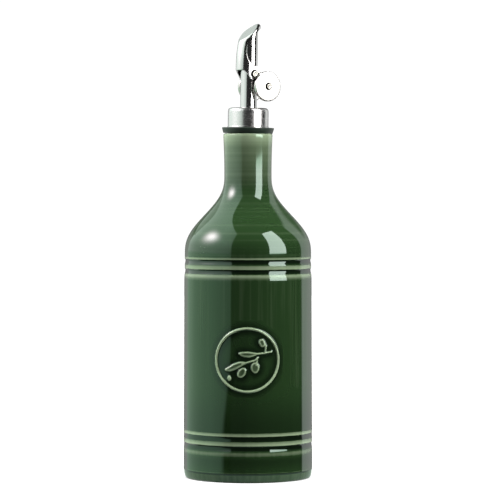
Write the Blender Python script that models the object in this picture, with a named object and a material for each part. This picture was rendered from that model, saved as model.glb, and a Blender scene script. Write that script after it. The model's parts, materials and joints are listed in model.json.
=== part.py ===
"""Ceramic olive oil dispenser bottle with a steel pourer and its weighted, self-closing flap.

Metres, +Z up. The origin is the centre of the base and the medallion faces -Y.
The pourer leans by one degree in the mouth and pours to the left and forward.
"""

import math

import bmesh
import bpy
from mathutils import Matrix, Vector

MM = 0.001
GAP = 0.3 * MM

# Bottle, bottom to top
FOOT_RING_RADIUS = 35.7 * MM
FOOT_RECESS_RADIUS = 30.0 * MM
FOOT_RECESS_DEPTH = 1.2 * MM
FOOT_LINE_HEIGHT = 5.3 * MM
BODY_RADIUS_LOW = 37.25 * MM
BODY_RADIUS_HIGH = 36.85 * MM
BODY_TAPER_FROM = 30.0 * MM
BODY_TAPER_TO = 113.0 * MM
SHOULDER_FOOT = 129.0 * MM
SHOULDER_TOP = 175.0 * MM
SHOULDER_FOOT_RADIUS = 36.55 * MM
NECK_RADIUS = 13.68 * MM
NECK_WAIST_HEIGHT = 178.0 * MM
RIM_RADIUS = 14.3 * MM
MOUTH_HEIGHT = 199.1 * MM
RIM_ROUNDING = 0.9 * MM
RIM_FLARE_POWER = 1.6

# Turned bands of sawtooth ribs: heights of the sharp edges, and how deep the glaze lies
UPPER_BAND_EDGES = (127.4 * MM, 120.9 * MM)
LOWER_BAND_EDGES = (27.9 * MM, 22.1 * MM)
LOWER_BAND_TOP = 30.5 * MM
UPPER_BAND_FOOT = 112.0 * MM
RIB_STEP_HEIGHT = 1.6 * MM
RIB_RAMP_HEIGHT = 4.0 * MM
RIB_DEPTH = 0.55 * MM

# Medallion on the front
MEDALLION_HEIGHT = 70.4 * MM
MEDALLION_RADIUS = 17.8 * MM
MEDALLION_LINE = 1.8 * MM
RELIEF_HEIGHT = 0.7 * MM
RELIEF_ROOT = 0.8 * MM
BUMP_SUNK = 0.25 * MM
STEM_RADIUS = 0.55 * MM

# Pourer
LEAN_DEG = 1.0
POUR_DIRECTION_DEG = 214.0
FLANGE_RADIUS = 15.1 * MM
FLANGE_FOOT_RADIUS = 14.3 * MM
FLANGE_HEIGHT = 3.1 * MM
FLANGE_ROUNDING = 0.8 * MM
FLANGE_CHAMFER = 0.6 * MM
COLLAR_RADIUS = 11.8 * MM
COLLAR_TOP = 14.8 * MM
COLLAR_FILLET = 2.4 * MM
TUBE_RADIUS = 4.83 * MM
TUBE_BORE_RADIUS = 4.2 * MM
HINGE_HEIGHT = 34.2 * MM
CUT_REACH = 12.0 * MM

# Flap, measured from its hinge: x forward, y along the hinge, z up
SHEET = 0.7 * MM
FLAP_HALF_WIDTH = 5.9 * MM
LID_TIP = (-3.4 * MM, 29.1 * MM)
LID_BEND = (6.4 * MM, 19.8 * MM)
LID_TO_MOUTH_GAP = 0.5 * MM
FLAP_BACK = -14.0 * MM
FLAP_CUT_HALF_WIDTH = 20.0 * MM
FRONT_LINE = ((8.3, -14.0), (8.1, 2.2), (7.9, 9.4), (7.2, 16.4), (6.4, 19.8), (5.4, 34.0))
LIP_HEIGHT = 2.2 * MM
LIP_BACK = (6.5 * MM, 2.4 * MM)
EAR_FRONT = (2.2 * MM, -2.9 * MM)
EAR_BELOW = (-0.4 * MM, -1.5 * MM)
EAR_BELOW_RADIUS = 3.1 * MM
EAR_ABOVE = (-0.4 * MM, 0.2 * MM)
EAR_ABOVE_RADIUS = 4.2 * MM
LOWER_BACK_LINE = ((3.0, 5.7), (4.5, 8.0), (5.4, 10.3), (5.8, 12.5))
UPPER_BACK_LINE = ((5.7, 14.5), (4.95, 17.2), (2.2, 20.5), (-0.8, 23.7))
LID_TIP_FOOT = 25.3 * MM
EAR_HOLE_RADIUS = 1.28 * MM
PIVOT_SHANK_RADIUS = 1.2 * MM
PIVOT_HEAD_RADIUS = 2.7 * MM
PIVOT_HEAD_HEIGHT = 0.65 * MM
PIVOT_HEAD_CROWN = 0.12 * MM
PIN_SEGMENTS = 24

# Counterweight: two discs that straddle the tube
WEIGHT_CENTRE = (-7.24 * MM, -6.9 * MM)
WEIGHT_RADIUS = 8.67 * MM
WEIGHT_THICKNESS = 2.6 * MM
WEIGHT_INNER_FACE = 7.2 * MM
WEIGHT_CHAMFER = 0.35 * MM
WEIGHT_RIVET_RADIUS = 1.2 * MM
WEIGHT_SPACER_RADIUS = 2.04 * MM
WEIGHT_RIVET_HEAD_RADIUS = 2.3 * MM
WEIGHT_RIVET_HEAD_HEIGHT = 0.7 * MM
ARM_HALF_WIDTH = 2.4 * MM

GLAZE_GREEN = (0.045, 0.105, 0.052)
STEEL = (0.72, 0.72, 0.73)
BLACK_RUBBER = (0.012, 0.012, 0.012)


def clear_scene():
    for old in list(bpy.data.objects):
        bpy.data.objects.remove(old, do_unlink=True)


def material(name, colour, roughness, metallic):
    """Return a Principled material."""
    made = bpy.data.materials.new(name)
    made.use_nodes = True
    shader = made.node_tree.nodes["Principled BSDF"]
    shader.inputs["Base Color"].default_value = (*colour, 1.0)
    shader.inputs["Roughness"].default_value = roughness
    shader.inputs["Metallic"].default_value = metallic
    return made


def add_object(name, bm, finish=None, parent=None, crease_deg=40.0):
    """Turn a bmesh into an object, smooth shaded with its creases kept sharp."""
    bmesh.ops.recalc_face_normals(bm, faces=bm.faces)
    mesh = bpy.data.meshes.new(name)
    bm.to_mesh(mesh)
    bm.free()
    mesh.shade_smooth()
    mesh.set_sharp_from_angle(angle=math.radians(crease_deg))
    made = bpy.data.objects.new(name, mesh)
    bpy.context.scene.collection.objects.link(made)
    if finish is not None:
        mesh.materials.append(finish)
    made.parent = parent
    return made


def as_cutter(made):
    """Keep a Boolean operand out of the finished object."""
    made.hide_render = True
    made.display_type = "WIRE"
    return made


def boolean(target, operand, operation):
    step = target.modifiers.new(operand.name, "BOOLEAN")
    step.operation = operation
    step.solver = "EXACT"
    step.object = operand


def turned(profile, segments, closed=False):
    """Spin a profile of (radius, height) points about Z; a closed one makes a ring."""
    bm = bmesh.new()
    verts = [bm.verts.new((radius, 0.0, height)) for radius, height in profile]
    edges = [bm.edges.new(pair) for pair in zip(verts, verts[1:])]
    if closed:
        edges.append(bm.edges.new((verts[-1], verts[0])))
    bmesh.ops.spin(
        bm,
        geom=verts + edges,
        axis=(0.0, 0.0, 1.0),
        cent=(0.0, 0.0, 0.0),
        angle=math.tau,
        steps=segments,
        use_merge=True,
    )
    bmesh.ops.remove_doubles(bm, verts=bm.verts, dist=0.001 * MM)
    return bm


def extruded_outline(points, half_width):
    """Extrude an outline in the XZ plane by half_width to both sides along Y."""
    bm = bmesh.new()
    face = bm.faces.new([bm.verts.new((x, -half_width, z)) for x, z in points])
    out = bmesh.ops.extrude_face_region(bm, geom=[face])
    moved = [item for item in out["geom"] if isinstance(item, bmesh.types.BMVert)]
    bmesh.ops.translate(bm, verts=moved, vec=(0.0, 2.0 * half_width, 0.0))
    return bm


def arc(centre, radius, start_deg, end_deg, steps):
    """Points of an arc from start_deg to end_deg, both ends included."""
    points = []
    for step in range(steps + 1):
        angle = math.radians(start_deg + (end_deg - start_deg) * step / steps)
        points.append((centre[0] + radius * math.cos(angle), centre[1] + radius * math.sin(angle)))
    return points


def body_radius(height):
    """Radius of the plain wall, without the ribs."""
    if height <= SHOULDER_FOOT:
        along = (height - BODY_TAPER_FROM) / (BODY_TAPER_TO - BODY_TAPER_FROM)
        radius = BODY_RADIUS_LOW + (BODY_RADIUS_HIGH - BODY_RADIUS_LOW) * min(max(along, 0.0), 1.0)
        above = max(height - BODY_TAPER_TO, 0.0) / (SHOULDER_FOOT - BODY_TAPER_TO)
        return radius + (SHOULDER_FOOT_RADIUS - BODY_RADIUS_HIGH) * above
    if height <= SHOULDER_TOP:
        t = (SHOULDER_TOP - height) / (SHOULDER_TOP - SHOULDER_FOOT)
        ease = t**3 * (10.0 - 15.0 * t + 6.0 * t * t)
        return NECK_RADIUS + (SHOULDER_FOOT_RADIUS - NECK_RADIUS) * ease
    flare = max(height - NECK_WAIST_HEIGHT, 0.0) / (MOUTH_HEIGHT - NECK_WAIST_HEIGHT)
    return NECK_RADIUS + (RIM_RADIUS - NECK_RADIUS) * flare**RIM_FLARE_POWER


def rib_points(edges):
    """Bottom-up profile of one band: each sharp edge overhangs a groove with a sloping floor."""
    points = []
    for edge in reversed(edges):
        groove = edge - RIB_STEP_HEIGHT
        foot = groove - RIB_RAMP_HEIGHT
        if not points:
            points.append((body_radius(foot), foot))
            points.append((body_radius(foot) - 0.1 * RIB_DEPTH, foot + 0.3 * RIB_RAMP_HEIGHT))
        points.append((body_radius(groove) - RIB_DEPTH, groove))
        points.append((body_radius(edge) - 0.25 * RIB_DEPTH, edge - 0.35 * RIB_STEP_HEIGHT))
        points.append((body_radius(edge), edge))
    return points


def bottle_profile():
    """Outline of the bottle from the middle of its base to the middle of its closed mouth."""
    shoulder_steps = 14
    neck_steps = 5
    foot_top = FOOT_LINE_HEIGHT
    points = [
        (0.0, FOOT_RECESS_DEPTH),
        (FOOT_RECESS_RADIUS - FOOT_RECESS_DEPTH, FOOT_RECESS_DEPTH),
        (FOOT_RECESS_RADIUS, 0.0),
        (FOOT_RING_RADIUS, 0.0),
        (BODY_RADIUS_LOW - 0.55 * MM, 0.9 * MM),
        (BODY_RADIUS_LOW - 0.3 * MM, 2.2 * MM),
        (BODY_RADIUS_LOW - 0.15 * MM, foot_top - 0.4 * MM),
        (BODY_RADIUS_LOW - 0.3 * MM, foot_top),
        (BODY_RADIUS_LOW, foot_top + 0.5 * MM),
    ]
    points += rib_points(LOWER_BAND_EDGES)
    points += [(body_radius(z), z) for z in (LOWER_BAND_TOP, UPPER_BAND_FOOT)]
    points += rib_points(UPPER_BAND_EDGES)
    for step in range(1, shoulder_steps + 1):
        height = SHOULDER_FOOT + (SHOULDER_TOP - SHOULDER_FOOT) * step / shoulder_steps
        points.append((body_radius(height), height))
    rounding_foot = MOUTH_HEIGHT - RIM_ROUNDING
    for step in range(1, neck_steps + 1):
        height = SHOULDER_TOP + (rounding_foot - SHOULDER_TOP) * step / neck_steps
        points.append((body_radius(height), height))
    lip_centre = (body_radius(rounding_foot) - RIM_ROUNDING, rounding_foot)
    points += arc(lip_centre, RIM_ROUNDING, 30.0, 90.0, 2)
    points.append((0.0, MOUTH_HEIGHT))
    return points


def on_front(x, z, lift):
    """A point on the front wall, seen straight on at (x, z) and lifted off the glaze."""
    height = MEDALLION_HEIGHT + z
    return Vector((x, -math.sqrt(body_radius(height) ** 2 - x * x) - lift, height))


def medallion_ring():
    """The round frame of the medallion, a circle when it is seen straight on."""
    steps = 44
    half = 0.5 * MEDALLION_LINE
    section = (
        (-half, -RELIEF_ROOT),
        (-0.55 * half, RELIEF_HEIGHT),
        (0.55 * half, RELIEF_HEIGHT),
        (half, -RELIEF_ROOT),
    )
    bm = bmesh.new()
    rings = []
    for step in range(steps):
        angle = math.tau * step / steps
        ring = []
        for offset, lift in section:
            reach = MEDALLION_RADIUS + offset
            ring.append(bm.verts.new(on_front(reach * math.cos(angle), reach * math.sin(angle), lift)))
        rings.append(ring)
    for index, ring in enumerate(rings):
        following = rings[(index + 1) % steps]
        for side in range(len(section)):
            other = (side + 1) % len(section)
            bm.faces.new((ring[side], ring[other], following[other], following[side]))
    return as_cutter(add_object("medallion_ring_form", bm))


def relief_bump(name, x, z, half_length, half_width, turn_deg):
    """A raised oval, half sunk in the wall: a leaf or an olive of the sprig."""
    bm = bmesh.new()
    bmesh.ops.create_uvsphere(bm, u_segments=12, v_segments=6, radius=1.0)
    made = as_cutter(add_object(name, bm))
    centre = on_front(x * MM, z * MM, -BUMP_SUNK)
    facing = math.asin(x * MM / body_radius(centre.z))
    made.matrix_world = (
        Matrix.Translation(centre)
        @ Matrix.Rotation(facing, 4, "Z")
        @ Matrix.Rotation(-math.radians(turn_deg), 4, "Y")
        @ Matrix.Diagonal((half_length * MM, RELIEF_HEIGHT + BUMP_SUNK, half_width * MM, 1.0))
    )
    return made


def relief_stem(name, start, end):
    """A straight raised stroke between two points of the medallion's face."""
    a = on_front(start[0] * MM, start[1] * MM, 0.0)
    b = on_front(end[0] * MM, end[1] * MM, 0.0)
    bm = bmesh.new()
    bmesh.ops.create_cone(
        bm,
        cap_ends=True,
        segments=6,
        radius1=STEM_RADIUS,
        radius2=STEM_RADIUS,
        depth=(b - a).length + STEM_RADIUS,
    )
    made = as_cutter(add_object(name, bm))
    along = (b - a).to_track_quat("Z", "Y").to_matrix().to_4x4()
    made.matrix_world = Matrix.Translation((a + b) / 2.0) @ along
    return made


def olive_sprig():
    """Two leaves, four olives and their stems, as raised forms on the front wall."""
    bumps = (
        ("leaf_upper_form", 0.1, 4.1, 5.4, 1.6, 1.0),
        ("leaf_lower_form", -8.0, -3.2, 5.4, 1.5, 20.0),
        ("olive_top_form", 8.0, 9.9, 2.75, 2.1, 70.0),
        ("olive_low_right_form", 4.5, -4.5, 3.25, 2.8, 80.0),
        ("olive_low_left_form", -3.0, -7.0, 3.4, 2.6, 45.0),
        ("bead_form", -10.1, -9.9, 1.55, 1.1, 60.0),
    )
    stems = (
        ((5.2, 4.2), (10.2, 4.7)),
        ((10.2, 4.7), (14.7, 5.3)),
        ((6.9, 2.3), (5.3, 0.65)),
        ((5.3, 0.65), (1.4, -0.5)),
        ((1.4, -0.5), (-3.1, -1.6)),
        ((10.3, 4.7), (10.6, 9.6)),
        ((5.4, 0.6), (5.3, -1.8)),
        ((-1.0, -1.1), (-2.0, -4.6)),
    )
    forms = [relief_bump(*bump) for bump in bumps]
    for index, (start, end) in enumerate(stems):
        forms.append(relief_stem(f"stem_{index}_form", start, end))
    return forms


def make_bottle(glaze):
    """The glazed bottle with its ribs, foot ring and raised medallion."""
    bottle = add_object("bottle", turned(bottle_profile(), 64), glaze, crease_deg=30.0)
    boolean(bottle, medallion_ring(), "UNION")
    for form in olive_sprig():
        boolean(bottle, form, "UNION")
    return bottle


def make_stopper(pourer, rubber, steel):
    """Rubber flange on the rim, steel collar on top of it, both bored for the spout tube."""
    foot = GAP
    top = foot + FLANGE_HEIGHT
    clearance = TUBE_RADIUS + GAP
    flange = [(0.0, foot), (FLANGE_FOOT_RADIUS - FLANGE_CHAMFER, foot)]
    flange.append((FLANGE_FOOT_RADIUS, foot + FLANGE_CHAMFER))
    rounding_centre = (FLANGE_RADIUS - FLANGE_ROUNDING, top - FLANGE_ROUNDING)
    flange += arc(rounding_centre, FLANGE_ROUNDING, 0.0, 90.0, 3)
    flange.append((0.0, top))
    add_object("stopper_flange", turned(flange, 48), rubber, pourer)

    collar_foot = top + GAP
    collar = [(clearance, collar_foot), (COLLAR_RADIUS, collar_foot)]
    fillet_centre = (COLLAR_RADIUS - COLLAR_FILLET, COLLAR_TOP - COLLAR_FILLET)
    collar += arc(fillet_centre, COLLAR_FILLET, 0.0, 90.0, 5)
    collar.append((clearance, COLLAR_TOP))
    add_object("collar", turned(collar, 48, closed=True), steel, pourer)
    return collar_foot


def lid_height(x, below=0.0):
    """Height of the lid's outer plane at x, or of a plane parallel to it this far below."""
    slope = (LID_BEND[1] - LID_TIP[1]) / (LID_BEND[0] - LID_TIP[0])
    return LID_TIP[1] + slope * (x - LID_TIP[0]) - below * math.hypot(1.0, slope)


def make_tube(pourer, steel, foot):
    """Thin steel tube from the stopper up to a mouth that is cut parallel to the lid."""
    tall = HINGE_HEIGHT + LID_TIP[1] + 0.5 * CUT_REACH
    section = [(TUBE_BORE_RADIUS, foot), (TUBE_RADIUS, foot)]
    section += [(TUBE_RADIUS, tall), (TUBE_BORE_RADIUS, tall)]
    tube = add_object("spout_tube", turned(section, 32, closed=True), steel, pourer)
    below = SHEET + LID_TO_MOUTH_GAP
    outline = [
        (-CUT_REACH, HINGE_HEIGHT + lid_height(-CUT_REACH, below)),
        (CUT_REACH, HINGE_HEIGHT + lid_height(CUT_REACH, below)),
        (CUT_REACH, 2.0 * tall),
        (-CUT_REACH, 2.0 * tall),
    ]
    mouth_cut = add_object("mouth_cut", extruded_outline(outline, CUT_REACH), parent=pourer)
    boolean(tube, as_cutter(mouth_cut), "DIFFERENCE")


def hood_block(name, inset, hinge):
    """Column with a half round front that follows the front line of the flap."""
    round_steps = 16
    radius = FLAP_HALF_WIDTH - inset
    bm = bmesh.new()
    rings = []
    for front_mm, height_mm in FRONT_LINE:
        centre = front_mm * MM - FLAP_HALF_WIDTH
        front = arc((centre, 0.0), radius, -90.0, 90.0, round_steps)
        outline = [(FLAP_BACK, -radius)] + front + [(FLAP_BACK, radius)]
        rings.append([bm.verts.new((x, y, height_mm * MM)) for x, y in outline])
    for low, high in zip(rings, rings[1:]):
        for index in range(len(low)):
            other = (index + 1) % len(low)
            bm.faces.new((low[index], low[other], high[other], high[index]))
    bm.faces.new(list(reversed(rings[0])))
    bm.faces.new(rings[-1])
    return add_object(name, bm, parent=hinge)


def flap_outline():
    """Side view of the flap: lid, front, ears round the hinge and the arms to the weight."""
    front = [(CUT_REACH, lid_height(CUT_REACH)), (CUT_REACH, LIP_HEIGHT), LIP_BACK]
    ear_below = [EAR_FRONT] + arc(EAR_BELOW, EAR_BELOW_RADIUS, -30.0, -110.0, 4)
    arm_end = arc(WEIGHT_CENTRE, ARM_HALF_WIDTH, -55.0, -235.0, 8)
    ear_above = arc(EAR_ABOVE, EAR_ABOVE_RADIUS, 150.0, 75.0, 4)
    back_line = [(x * MM, z * MM) for x, z in LOWER_BACK_LINE + UPPER_BACK_LINE]
    tip = [(LID_TIP[0], LID_TIP_FOOT), LID_TIP]
    return front + ear_below + arm_end + ear_above + back_line + tip


def lay_along_hinge(bm):
    """Tip a form turned about Z over, so that its axis runs along Y."""
    tip_over = Matrix.Rotation(-math.pi / 2.0, 3, "X")
    bmesh.ops.rotate(bm, verts=bm.verts, cent=(0.0, 0.0, 0.0), matrix=tip_over)


def cross_pin(name, profile, segments, hinge, at=(0.0, 0.0)):
    """A turned pin that lies along the hinge line, with its profile running towards +Y."""
    bm = turned(profile, segments)
    lay_along_hinge(bm)
    made = add_object(name, bm, parent=hinge)
    made.location = (at[0], 0.0, at[1])
    return made


def hole_cutter(name, radius, hinge, at=(0.0, 0.0)):
    """A pin through both sides of the flap that cuts a pair of holes in line."""
    profile = [(0.0, -CUT_REACH), (radius, -CUT_REACH), (radius, CUT_REACH), (0.0, CUT_REACH)]
    return as_cutter(cross_pin(name, profile, PIN_SEGMENTS, hinge, at))


def make_flap(hinge, steel):
    """Folded sheet hood that closes the mouth, with ears on the hinge and two rear arms."""
    flap = hood_block("flap", 0.0, hinge)
    flap.data.materials.append(steel)
    outline = extruded_outline(flap_outline(), FLAP_CUT_HALF_WIDTH)
    boolean(flap, as_cutter(add_object("flap_outline", outline, parent=hinge)), "INTERSECT")

    inside = as_cutter(hood_block("flap_inside", SHEET, hinge))
    reach = 1.5 * FLAP_CUT_HALF_WIDTH
    under_lid = [
        (-reach, lid_height(-reach, SHEET)),
        (-reach, -reach),
        (reach, -reach),
        (reach, lid_height(reach, SHEET)),
    ]
    under_lid_block = extruded_outline(under_lid, FLAP_CUT_HALF_WIDTH)
    boolean(inside, as_cutter(add_object("under_lid", under_lid_block, parent=hinge)), "INTERSECT")
    boolean(flap, inside, "DIFFERENCE")
    boolean(flap, hole_cutter("pivot_hole", EAR_HOLE_RADIUS, hinge), "DIFFERENCE")
    weight_hole = hole_cutter("arm_hole", WEIGHT_RIVET_RADIUS + GAP, hinge, WEIGHT_CENTRE)
    boolean(flap, weight_hole, "DIFFERENCE")


def make_pivot_rivets(hinge, steel):
    """One rivet on each side of the tube; the ears turn on their shanks."""
    root = TUBE_RADIUS + GAP
    head = FLAP_HALF_WIDTH + GAP
    domed = head + PIVOT_HEAD_HEIGHT
    profile = [
        (0.0, root),
        (PIVOT_SHANK_RADIUS, root),
        (PIVOT_SHANK_RADIUS, head),
        (PIVOT_HEAD_RADIUS, head),
        (PIVOT_HEAD_RADIUS, head + 0.3 * PIVOT_HEAD_HEIGHT),
        (0.8 * PIVOT_HEAD_RADIUS, domed - PIVOT_HEAD_CROWN),
        (0.4 * PIVOT_HEAD_RADIUS, domed),
        (0.0, domed),
    ]
    for name, turn in (("pivot_rivet_near", 0.0), ("pivot_rivet_far", math.pi)):
        rivet = cross_pin(name, profile, PIN_SEGMENTS, hinge)
        rivet.data.materials.append(steel)
        rivet.rotation_euler.z = turn


def make_weight(hinge, steel):
    """Two thick discs outside the arms, held by one rivet that passes behind the tube."""
    chamfer = WEIGHT_CHAMFER
    inner = WEIGHT_INNER_FACE
    outer = inner + WEIGHT_THICKNESS
    bore = WEIGHT_RIVET_RADIUS + GAP
    for name, side in (("weight_near", 1.0), ("weight_far", -1.0)):
        profile = [
            (bore, side * inner),
            (WEIGHT_RADIUS - chamfer, side * inner),
            (WEIGHT_RADIUS, side * (inner + chamfer)),
            (WEIGHT_RADIUS, side * (outer - chamfer)),
            (WEIGHT_RADIUS - chamfer, side * outer),
            (bore, side * outer),
        ]
        bm = turned(profile, 48, closed=True)
        lay_along_hinge(bm)
        disc = add_object(name, bm, steel, hinge)
        disc.location = (WEIGHT_CENTRE[0], 0.0, WEIGHT_CENTRE[1])

    head = outer + GAP
    tip = head + WEIGHT_RIVET_HEAD_HEIGHT
    spacer = (FLAP_HALF_WIDTH + GAP, inner - GAP)
    half = [
        (WEIGHT_SPACER_RADIUS, spacer[0]),
        (WEIGHT_SPACER_RADIUS, spacer[1]),
        (WEIGHT_RIVET_RADIUS, spacer[1]),
        (WEIGHT_RIVET_RADIUS, head),
        (WEIGHT_RIVET_HEAD_RADIUS, head),
        (WEIGHT_RIVET_HEAD_RADIUS, head + 0.35 * WEIGHT_RIVET_HEAD_HEIGHT),
        (0.75 * WEIGHT_RIVET_HEAD_RADIUS, tip),
        (0.0, tip),
    ]
    start = (WEIGHT_RIVET_RADIUS, spacer[0])
    upper = [start] + half
    lower = [(radius, -height) for radius, height in reversed(upper)]
    rivet = cross_pin("weight_rivet", lower + upper, PIN_SEGMENTS, hinge, WEIGHT_CENTRE)
    rivet.data.materials.append(steel)


def main():
    clear_scene()
    glaze = material("green_glaze", GLAZE_GREEN, 0.12, 0.0)
    steel = material("stainless_steel", STEEL, 0.22, 1.0)
    rubber = material("black_rubber", BLACK_RUBBER, 0.6, 0.0)

    make_bottle(glaze)
    pourer = bpy.data.objects.new("pourer_frame", None)
    bpy.context.scene.collection.objects.link(pourer)
    lean = Matrix.Rotation(math.radians(LEAN_DEG), 4, "Y")
    facing = Matrix.Rotation(math.radians(POUR_DIRECTION_DEG), 4, "Z")
    pourer.matrix_world = Matrix.Translation((0.0, 0.0, MOUTH_HEIGHT)) @ lean @ facing
    hinge = bpy.data.objects.new("flap_hinge", None)
    bpy.context.scene.collection.objects.link(hinge)
    hinge.parent = pourer
    hinge.location = (0.0, 0.0, HINGE_HEIGHT)

    tube_foot = make_stopper(pourer, rubber, steel)
    make_tube(pourer, steel, tube_foot)
    make_flap(hinge, steel)
    make_pivot_rivets(hinge, steel)
    make_weight(hinge, steel)


if __name__ == "__main__":
    main()
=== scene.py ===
"""Looks of a glazed ceramic oil bottle with a self-closing steel pourer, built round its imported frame.

Sizes are in metres unless a name ends in _mm. The medallion faces -Y and the bottle stands on Z = 0.
"""

import json
import logging
import math
from collections.abc import Sequence
from dataclasses import dataclass
from enum import Enum
from typing import Any

import bmesh
import bpy
import numpy as np
from mathutils import Matrix, Vector

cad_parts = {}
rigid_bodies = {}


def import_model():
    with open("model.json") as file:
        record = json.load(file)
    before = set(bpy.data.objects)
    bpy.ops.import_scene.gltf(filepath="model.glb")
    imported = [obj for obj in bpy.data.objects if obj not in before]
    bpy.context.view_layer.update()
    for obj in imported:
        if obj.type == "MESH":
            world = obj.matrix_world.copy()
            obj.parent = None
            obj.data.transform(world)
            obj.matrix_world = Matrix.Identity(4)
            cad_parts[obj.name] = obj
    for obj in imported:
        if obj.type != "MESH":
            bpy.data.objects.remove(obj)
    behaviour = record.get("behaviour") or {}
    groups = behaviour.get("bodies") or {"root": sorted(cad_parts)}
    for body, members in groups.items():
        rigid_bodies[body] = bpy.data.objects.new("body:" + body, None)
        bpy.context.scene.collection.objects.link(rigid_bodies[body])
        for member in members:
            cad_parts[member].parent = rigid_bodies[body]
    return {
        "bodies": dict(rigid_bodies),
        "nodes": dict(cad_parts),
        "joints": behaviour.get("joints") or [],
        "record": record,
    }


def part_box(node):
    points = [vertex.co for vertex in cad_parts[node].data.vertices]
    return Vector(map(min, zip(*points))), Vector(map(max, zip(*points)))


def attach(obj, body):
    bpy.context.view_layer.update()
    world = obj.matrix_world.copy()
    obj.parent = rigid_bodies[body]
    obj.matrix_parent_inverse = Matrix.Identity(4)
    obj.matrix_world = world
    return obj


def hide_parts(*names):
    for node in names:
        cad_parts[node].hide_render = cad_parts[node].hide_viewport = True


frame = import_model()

LOG = logging.getLogger("oil_bottle")
MM = 0.001
WALL_LEVEL = 0.5  # the glaze's thickness on the plain wall, between 0, thin, and 1, a pool
CREASE = math.radians(35.0)  # edges sharper than this stay sharp in the shading
ALONG_HINGE = Matrix.Rotation(-math.pi / 2.0, 4, "X")  # lays a turned piece along the hinge's direction
Point = tuple[float, float]
Pair = tuple[float, float]  # two values that belong together, such as the ends of a range
Corner = tuple[float, float, float]  # a point and its size, such as the radius of its rounding
Inputs = dict[str | int, Any]


class Body(Enum):
    """The rigid bodies that a piece can ride on."""

    BOTTLE = "bottle_body"
    FLAP = "flap_body"


class Slot(Enum):
    """The record's material slots."""

    GLAZE = "glaze"
    STEEL = "steel"
    RUBBER = "rubber"


def linear(hex_colour: str) -> tuple[float, float, float, float]:
    """Turn an sRGB hex colour into linear RGBA.

    Args:
        hex_colour: Six hex digits, with or without a leading hash.

    Returns:
        The linear colour with an alpha of one.
    """
    digits = hex_colour.lstrip("#")
    channels = []
    for start in (0, 2, 4):
        value = int(digits[start : start + 2], 16) / 255.0
        channels.append(value / 12.92 if value <= 0.04045 else ((value + 0.055) / 1.055) ** 2.4)
    return (channels[0], channels[1], channels[2], 1.0)


def add_node(tree: bpy.types.NodeTree, kind: str, inputs: Inputs | None = None, **settings: Any) -> Any:
    """Add a shader node with its settings, values and links.

    Args:
        tree: The node tree that gets the node.
        kind: The node's type name without its ShaderNode prefix.
        inputs: For each named or numbered input a value, a socket, or a node, for its first output.
        settings: Properties of the node itself.

    Returns:
        The new node.
    """
    made = tree.nodes.new(f"ShaderNode{kind}")
    for name, value in settings.items():
        setattr(made, name, value)
    for name, value in (inputs or {}).items():
        source = value.outputs[0] if isinstance(value, bpy.types.Node) else value
        if isinstance(source, bpy.types.NodeSocket):
            tree.links.new(source, made.inputs[name])
        else:
            made.inputs[name].default_value = source
    return made


def empty_material(name: str) -> tuple[bpy.types.Material, bpy.types.NodeTree]:
    """Make a material with nothing in it.

    Args:
        name: The material's name.

    Returns:
        The material and its empty node tree.
    """
    made = bpy.data.materials.new(name)
    made.use_nodes = True
    made.node_tree.nodes.clear()
    return made, made.node_tree


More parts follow.
